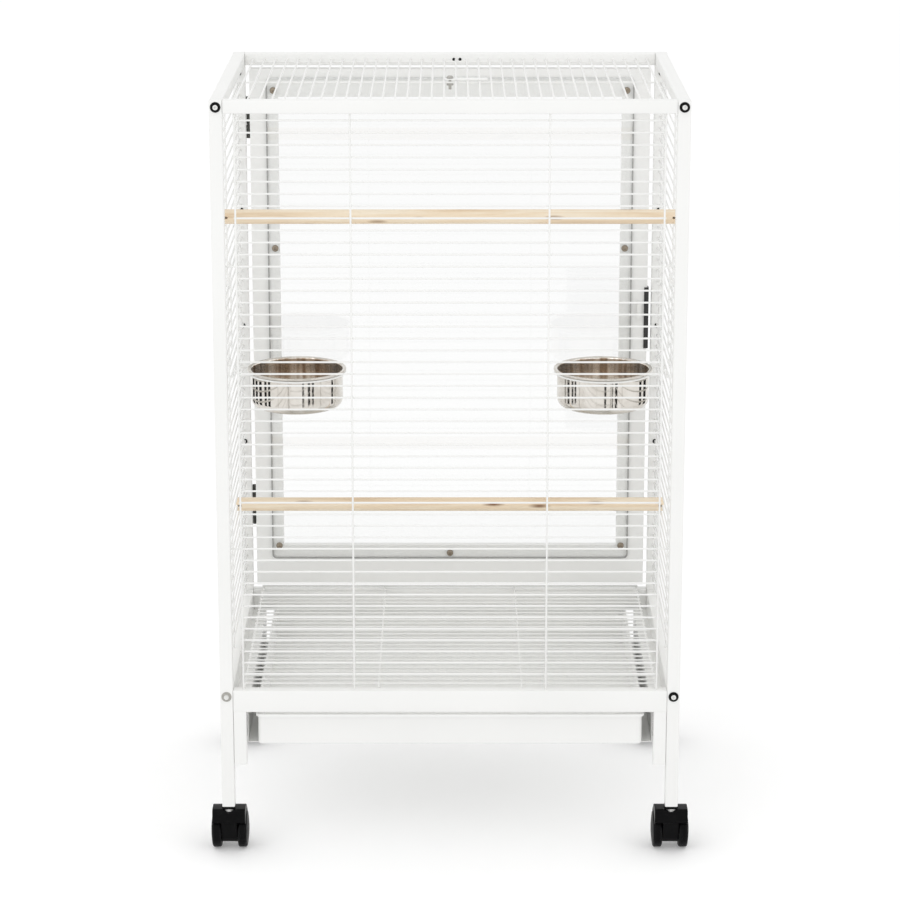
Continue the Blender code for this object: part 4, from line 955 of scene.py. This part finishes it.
def make_door_frame():
    """Square-tube door frame, mitred at its corners, with rounded edges."""
    low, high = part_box("door_frame")
    middle_y = (low.y + high.y) / 2
    section = rounded_loop(0.5, (high.y - low.y) / 2, DOOR_ROUND)
    left, right = (low.x, DOOR_STILE), (high.x, -DOOR_STILE)
    bottom, top = (low.z, DOOR_BOTTOM_RAIL), (high.z, -DOOR_STILE)
    loops = []
    for (x, across), (z, up) in ((left, bottom), (right, bottom), (right, top), (left, top)):
        loop = []
        for u, v in section:
            # The rounding is a real size across the stile, so only the flat part stretches with its width
            share = max(0.0, min(1.0, u + 0.5))
            if share < DOOR_ROUND:
                share = share / DOOR_STILE
            elif share > 1 - DOOR_ROUND:
                share = 1 - (1 - share) / DOOR_STILE
            loop.append((x + across * share, middle_y + v, z + up * share))
        loops.append(loop)
    shape = bmesh.new()
    band(shape, loops)
    make_coated("door_tube_frame", shape, "door_frame", "door", sharp=30)


def make_acrylic_edge():
    """The sheet's sawn edge: grey painted shade at the sides and bottom, pale painted light at the top,
    where the light falls in.
    """
    low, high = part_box("acrylic_sheet")
    centre = (low + high) / 2
    half_x = (high.x - low.x) / 2
    half_z = (high.z - low.z) / 2
    front = low.y - EDGE_SKIN
    steps = 6
    loops = [
        on_axis(1, y, centre, rounded_loop(half_x - inset, half_z - inset, SHEET_CORNER - inset, steps))
        for inset, y in ((-EDGE_SKIN, front), (EDGE_FACE, front), (EDGE_FACE, high.y), (-EDGE_SKIN, high.y))
    ]
    sections = list(zip(*loops))
    left_end = 2 * steps + 1
    # Grey painted shade along the sides and bottom, pale painted light along the top
    for name, run, material in (
        ("sides", sections[left_end:] + sections[:1], GREY_EDGE_PAINTED_SHADE),
        ("top", sections[:left_end + 1], PALE_EDGE_PAINTED_LIGHT),
    ):
        shape = bmesh.new()
        loft(shape, run)
        make_piece(f"acrylic_edge_{name}", shape, material, "door", "clear_acrylic")


def make_door_screws():
    """Pan-head screws that hold the sheet to the stiles and the bottom rail."""
    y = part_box("acrylic_sheet")[0].y - SHEET_SCREW_PROUD
    shape = bmesh.new()
    for side in (-1, 1):
        for z in SHEET_SCREW_LEVELS:
            screw(shape, (side * SHEET_SCREW_X, y, z), *SHEET_SCREW)
    screw(shape, (0, y, SHEET_SCREW_LOWEST), *SHEET_SCREW)
    make_piece("sheet_screws", shape, AGED_ZINC, "door", "zinc_bolt")


def make_hinges():
    """Weld-on barrel hinges with turned ends."""
    barrel_end = ((HINGE_RADIUS - HINGE_EDGE, 0), (HINGE_RADIUS, HINGE_EDGE))
    for place in ("upper", "lower"):
        low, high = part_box(f"hinge_{place}_fixed")
        move_low, move_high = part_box(f"hinge_{place}_moving")
        axis_x = move_low.x + HINGE_RADIUS
        axis_y = (move_low.y + move_high.y) / 2
        knuckle = move_high.z - move_low.z
        for kind, body, bottoms, leaf_x in (
            ("fixed", "cage", (low.z, high.z - knuckle), (low.x, axis_x)),
            ("moving", "door", (move_low.z,), (axis_x, move_high.x)),
        ):
            shape = bmesh.new()
            for bottom in bottoms:
                top = bottom + knuckle
                rod(shape, (axis_x, axis_y, 0), Z_AXIS, bottom, top, barrel_end, 28)
                leaf_low = Vector((leaf_x[0], axis_y + HINGE_LEAF[0], bottom + HINGE_EDGE))
                leaf_high = Vector((leaf_x[1], axis_y + HINGE_LEAF[1], top - HINGE_EDGE))
                tube_bar(shape, 2, leaf_low, leaf_high, HINGE_LEAF_ROUND)
            if kind == "fixed":
                rod(shape, (axis_x, axis_y, 0), Z_AXIS, low.z, high.z, ((HINGE_PIN, 0),), 16)
            node = f"hinge_{place}_{kind}"
            make_piece(f"barrel_{place}_{kind}", shape, HINGE_STEEL, body, "zinc_bolt", node)


# Bolts

def bolt_head(dark, bright, centre, axis):
    """A flanged button head: a dark flange and flank painted as shade, and a bright flat with a hexagon
    socket painted as a highlight.
    """
    flange = [
        (0, 0.0004), (0.0034, 0.0004), (0.0034, 0.0030), (0.0037, 0.0031), (0.0046, 0.0027),
        (0.0052, 0.0016), (0.0054, 0.0011), (0.0064, 0.0010), (0.0067, 0.0007), (0.0067, 0.0), (0, 0),
    ]
    centre = Vector(centre)
    lathe(dark, flange, centre, axis, 36)
    crown = ((0.0033, 0.0006), (0.0033, 0.0030), (0.0031, 0.0032), (0.0019, 0.0032))
    socket_radius = 0.0015
    sides = 24
    across, up = directions(axis)
    loops = [around(centre + axis * height, across, up, radius, sides) for radius, height in crown]
    for height in (0.0030, 0.0018):
        loop = []
        for k, out in enumerate(around(Vector(), across, up, 1, sides)):
            from_corner = (2 * math.pi * k / sides) % (math.pi / 3)
            reach = socket_radius / math.cos(from_corner - math.pi / 6)
            loop.append(centre + axis * height + out * reach)
        loops.append(loop)
    loft(bright, loops)


def make_bolts():
    """The front posts' flanged bolts and those that the photograph shows further back."""
    for corner in ("front_left", "front_right"):
        for place in ("top", "base"):
            node = f"bolt_{corner}_{place}"
            low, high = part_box(node)
            centre = ((low.x + high.x) / 2, -post_y - TUBE / 2, (low.z + high.z) / 2)
            dark = bmesh.new()
            bright = bmesh.new()
            bolt_head(dark, bright, centre, -Y_AXIS)
            # The flange and the dome's flank are painted dark as shade, the crown bright as a highlight
            finish = GREY_ZINC if node == PLAIN_BOLT else DARK_ZINC
            make_piece(f"bolt_flange_{corner}_{place}", dark, finish, "cage", "zinc_bolt", node)
            make_piece(f"bolt_crown_{corner}_{place}", bright, SATIN_ZINC, "cage", "zinc_bolt")
    shape = bmesh.new()
    for side in (-1, 1):
        for z in POST_SCREW_LEVELS:
            screw(shape, (side * post_x, inner_y, z), *POST_SCREW)
    for x in RAIL_SCREW_PLACES:
        screw(shape, (x, inner_y, roof_top - TUBE / 2), *RAIL_SCREW)
    make_piece("rear_post_screws", shape, DARK_ZINC, "cage", "zinc_bolt")


# Casters

def hood_contour(shrink=0.0):
    """The hood's side from the rear lip over the top and down the front face."""
    top = HOOD_TOP - shrink
    nose = HOOD_NOSE - shrink
    points = arc((CASTER_TRAIL, WHEEL_RADIUS), HOOD_ARC - shrink, 18, 62, 14)
    points += [(CASTER_TRAIL + 0.004, top - 0.0044), (CASTER_TRAIL, top - 0.0022)]
    points += [(0.0140, top - 0.0008), (0.0100, top - 0.0001), (0.0060, top)]
    points += arc((HOOD_NOSE_ROUND - nose, top - HOOD_NOSE_ROUND), HOOD_NOSE_ROUND, 90, 180, 9)
    points += [(-nose, HOOD_FACE_LOW)]
    return points


def make_hood(corner, post, trail):
    """The moulded hood: a cover over the wheels' tops and a web between them."""
    axle = (CASTER_TRAIL, WHEEL_RADIUS)

    def slab(shape, outline, half_width):
        """Extrudes (behind, height) points to both sides of the post's axis."""
        placed = [(post.y + trail * behind, z) for behind, z in outline]
        prism(shape, placed, 0, post.x - half_width, post.x + half_width)

    def cutters():
        """The round notch over the swivel ring, and the brake lever's pocket."""
        shape = bmesh.new()
        notch = arc((post.x, HOOD_TOP - NOTCH_DEPTH + NOTCH_RADIUS), NOTCH_RADIUS, 0, 351, 39)
        prism(shape, notch, 1, post.y - trail * 2 * HOOD_NOSE, post.y + trail * NOTCH_LENGTH)
        if trail > 0:
            first, last = POCKET_ANGLES
            pocket = arc(axle, HOOD_ARC + POCKET_RISE, first, last, 10)
            pocket += arc(axle, HOOD_ARC - POCKET_DEPTH, last, first, 10)
            slab(shape, pocket, POCKET_HALF_WIDTH)
        return shape

    def part(name, outline, half_width, rounding, *replaced):
        shape = bmesh.new()
        slab(shape, outline, half_width)
        piece = make_piece(f"{name}_{corner}", shape, NYLON, f"caster_{corner}", "black_plastic", *replaced)
        cut_away(piece, cutters())
        soften(piece, rounding)

    cover = hood_contour() + [(-0.0035, 0.0400)] + arc(axle, HOOD_CAVITY, 140, 18, 24)
    part("caster_cover", cover, HOOD_HALF_WIDTH, 0.0007, f"caster_hood_{corner}")
    part("caster_web", hood_contour(0.0006) + arc(axle, HOOD_WEB_ARC, 200, 340, 16), HOOD_WEB, 0.0005)


def make_swivel_ring(corner, post):
    """The bright ring that shows in the hood's notch, with the stem above it."""
    low = HOOD_TOP - 2 * NOTCH_DEPTH
    top = HOOD_TOP - 0.0003
    profile = [
        (0, low), (SWIVEL_RING - 0.0003, low), (SWIVEL_RING, low + 0.0003), (SWIVEL_RING, top - 0.0016),
        (SWIVEL_RING - 0.0003, top - 0.0013), (SWIVEL_RING - 0.0003, top - 0.0009),
        (SWIVEL_RING, top - 0.0006), (SWIVEL_RING - 0.0004, top), (STEM_RADIUS, top),
        (STEM_RADIUS, STEM_TOP - 0.0008), (STEM_RADIUS - 0.0008, STEM_TOP), (0, STEM_TOP),
    ]
    shape = bmesh.new()
    lathe(shape, profile, (post.x, post.y, 0), Z_AXIS, 40)
    make_piece(f"swivel_ring_{corner}", shape, SATIN_ZINC, f"caster_{corner}", "zinc_bolt")


def wheel_profile():
    """Section of a wheel from its blind bore round the grooved tread to the domed face."""
    near = WHEEL_HALF_GAP
    face = near + WHEEL_WIDTH
    bore_end = near + AXLE_SEAT + 0.0003
    shoulder = WHEEL_RADIUS - WHEEL_SHOULDER
    groove = WHEEL_RADIUS - 0.00035
    points = [
        (0, bore_end), (AXLE_BORE, bore_end), (AXLE_BORE, near + 0.0004), (AXLE_BORE + 0.0004, near),
        (0.0075, near), (0.0080, near + 0.0020), (0.0185, near + 0.0020), (0.0190, near),
    ]
    points += [(r, z) for z, r in arc((near + WHEEL_SHOULDER, shoulder), WHEEL_SHOULDER, 180, 90, 6)]
    pitch = (WHEEL_WIDTH - 2 * WHEEL_SHOULDER) / TREAD_GROOVES
    for i in range(TREAD_GROOVES):
        middle = near + WHEEL_SHOULDER + pitch * (i + 0.5)
        points += [
            (WHEEL_RADIUS, middle - 0.00030), (groove, middle - 0.00016),
            (groove, middle + 0.00016), (WHEEL_RADIUS, middle + 0.00030),
        ]
    points += [(r, z) for z, r in arc((face - WHEEL_SHOULDER, shoulder), WHEEL_SHOULDER, 90, 0, 6)]

    def dome(radius, sunk=0.0):
        return (radius, face + WHEEL_DOME * (1 - (radius / shoulder) ** 2) - sunk)

    points += [dome(0.0200), dome(0.0178), (0.0175, dome(0.0178, 0.0005)[1])]
    points += [dome(0.0170, 0.0006), dome(0.0167), dome(0.0140)]
    points += [dome(0.0100), dome(0.0060), dome(0.0030), dome(0)]
    return points


def make_wheels(corner, side, axle):
    for name, hand in (("outer", side), ("inner", -side)):
        node = f"wheel_{corner}_{name}"
        shape = bmesh.new()
        lathe(shape, wheel_profile(), axle, X_AXIS * hand, 72)
        make_piece(f"nylon_{node}", shape, TREAD, node, "black_tread", node, sharp=30)
    pin = bmesh.new()
    reach = WHEEL_HALF_GAP + AXLE_SEAT
    rod(pin, axle, X_AXIS, -reach, reach, ((AXLE_RADIUS - 0.0004, 0), (AXLE_RADIUS, 0.0004)), 24)
    make_piece(f"axle_pin_{corner}", pin, ZINC, f"caster_{corner}", "zinc_bolt")


def make_brake(corner, axle):
    """The foot lever with its grip ribs, and the pin that it tips on."""
    turn = math.radians(BRAKE_ANGLE)
    reach = HOOD_ARC - BRAKE_PIVOT_INSET
    pivot = (axle.y + reach * math.cos(turn), axle.z + reach * math.sin(turn))
    outline = arc((0, 0), 0.0049, 205, 335, 10)
    outline += [
        (0.0055, 0.0008), (0.0136, 0.0054), (0.0148, 0.0062), (0.0149, 0.0069), (0.0142, 0.0083),
        (0.0134, 0.0087),
    ]
    for i in range(BRAKE_RIBS):
        back = 0.0125 - BRAKE_RIB_PITCH * i
        height = 0.0083 - BRAKE_RIB_FALL * i
        outline += [(back, height + 0.0004), (back - 0.0008, height - 0.0001)]
        outline += [(back - 0.0012, height - 0.0008)]
    outline += [(0.0030, 0.0041), (0.0012, 0.0042), (-0.0030, 0.0030), (-0.0040, 0.0022)]
    placed = [(pivot[0] + y, pivot[1] + z) for y, z in outline]
    shape = bmesh.new()
    prism(shape, placed, 0, axle.x - BRAKE_HALF_WIDTH, axle.x + BRAKE_HALF_WIDTH)
    lever = make_piece(
        f"foot_lever_{corner}", shape, NYLON, f"brake_{corner}", "black_plastic", f"brake_lever_{corner}"
    )
    soften(lever, 0.0003, 2)
    pin = bmesh.new()
    rod(pin, (axle.x, *pivot), X_AXIS, -BRAKE_PIN_REACH, BRAKE_PIN_REACH, ((BRAKE_PIN, 0),), 20)
    make_piece(f"lever_pin_{corner}", pin, DARK_ZINC, f"caster_{corner}", "zinc_bolt")


def make_casters():
    for corner, (side, end) in CORNERS.items():
        post = Vector((side * post_x, end * post_y, 0))
        axle = Vector((post.x, post.y - end * CASTER_TRAIL, WHEEL_RADIUS))
        make_hood(corner, post, -end)
        make_swivel_ring(corner, post)
        make_wheels(corner, side, axle)
        if end < 0:
            make_brake(corner, axle)


# CAD nodes that stay

def finish_kept_nodes():
    """Gives the CAD nodes that stay their finish and rounded edges."""
    kept = [
        ("acrylic_sheet", ACRYLIC, 0.0002), ("latch_plate", BLACK_METAL, 0.0003),
        ("latch_handle", LATCH_FINISH, 0.0004), ("roof_plate", COAT, 0.0003),
        ("roof_bolt", GREY_ZINC, 0.0003),
    ]
    kept += [(f"caster_socket_{corner}", NYLON, 0.0003) for corner in CORNERS]
    for node, material, width in kept:
        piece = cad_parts[node]
        piece.data.materials.clear()
        piece.data.materials.append(material)
        soften(piece, width, 2)


# Studio

def seen_rays(owner, strength):
    """The strength for camera, mirror and glass rays, and 0 for the rest."""
    path = add_node(owner, "ShaderNodeLightPath")
    either = path.outputs["Is Camera Ray"]
    for name in ("Is Glossy Ray", "Is Transmission Ray"):
        either = math_node(owner, "MAXIMUM", either, path.outputs[name])
    return math_node(owner, "MULTIPLY", either, strength)


def make_floor():
    """White floor that keeps the shadow and shows white to camera, mirror and glass rays."""
    shape = bmesh.new()
    bmesh.ops.create_grid(shape, x_segments=2, y_segments=2, size=FLOOR_SIZE)
    floor = mesh_object("floor", shape)
    floor.location.z = -FLOOR_DROP
    material = bpy.data.materials.new("floor_white")
    material.use_nodes = True
    material.node_tree.nodes.clear()
    diffuse = add_node(material, "ShaderNodeBsdfDiffuse", {"Color": (0.92, 0.92, 0.92, 1)})
    glow = add_node(material, "ShaderNodeEmission")
    add = add_node(material, "ShaderNodeAddShader")
    output = add_node(material, "ShaderNodeOutputMaterial")
    link(material, seen_rays(material, FLOOR_GLOW), glow.inputs["Strength"])
    link(material, diffuse.outputs["BSDF"], add.inputs[0])
    link(material, glow.outputs["Emission"], add.inputs[1])
    link(material, add.outputs["Shader"], output.inputs["Surface"])
    floor.data.materials.append(material)


def make_cards():
    """Dark upright cards that only mirror rays see, for the stripes on the steel bowls."""
    shape = bmesh.new()
    for bearing, half_angle in CARDS:
        turn = math.radians(bearing)
        out = Vector((math.sin(turn), -math.cos(turn), 0))
        along = Vector((-out.y, out.x, 0)) * CARD_DISTANCE * math.tan(math.radians(half_angle))
        shape.faces.new([
            shape.verts.new(out * CARD_DISTANCE + along * side + Z_AXIS * z)
            for side, z in ((-1, 0.0), (1, 0.0), (1, CARD_HEIGHT), (-1, CARD_HEIGHT))
        ])
    cards = mesh_object("dark_cards", shape)
    black = new_material("card_black", (0.012, 0.012, 0.013), 0.9)[0]
    cards.data.materials.append(black)
    cards.visible_camera = False
    cards.visible_diffuse = False
    cards.visible_transmission = False
    cards.visible_shadow = False


def make_world():
    world = bpy.data.worlds.new("studio")
    bpy.context.scene.world = world
    world.use_nodes = True
    background = world.node_tree.nodes["Background"]
    background.inputs["Color"].default_value = (1, 1, 1, 1)
    strength = math_node(world, "ADD", seen_rays(world, 1 - AMBIENT), AMBIENT)
    link(world, strength, background.inputs["Strength"])


def make_lamps():
    for name, place, size, power in LAMPS:
        lamp = bpy.data.lights.new(name, "AREA")
        lamp.shape = "SQUARE"
        lamp.size = size
        lamp.energy = power
        holder = add_object(name, lamp)
        holder.location = place
        holder.rotation_euler = (LAMP_AIM - Vector(place)).to_track_quat("-Z", "Y").to_euler()


def make_camera():
    camera_data = bpy.data.cameras.new("camera")
    camera_data.sensor_width = 36
    camera_data.lens = CAMERA_LENS
    camera_data.shift_y = CAMERA_SHIFT
    camera = add_object("camera", camera_data)
    camera.location = CAMERA_PLACE
    camera.rotation_euler = (math.pi / 2 - CAMERA_DIP, 0, 0)
    bpy.context.scene.camera = camera


make_posts()
make_top_rails()
make_cross_rails()
make_side_rails()
make_front_wires()
make_roof_wires()
make_grille_wires()
for side_name, side_sign in SIDES.items():
    make_side_wires(side_name, side_sign)
    make_feeder_door(side_name, side_sign)
    make_bowl(side_name)
    make_bowl_ring(side_name, side_sign)
make_perches()
make_tray()
make_door_frame()
make_acrylic_edge()
make_door_screws()
make_hinges()
make_bolts()
make_casters()
finish_kept_nodes()

make_floor()
make_cards()
make_world()
make_lamps()
make_camera()
bpy.context.scene.view_settings.view_transform = "Standard"
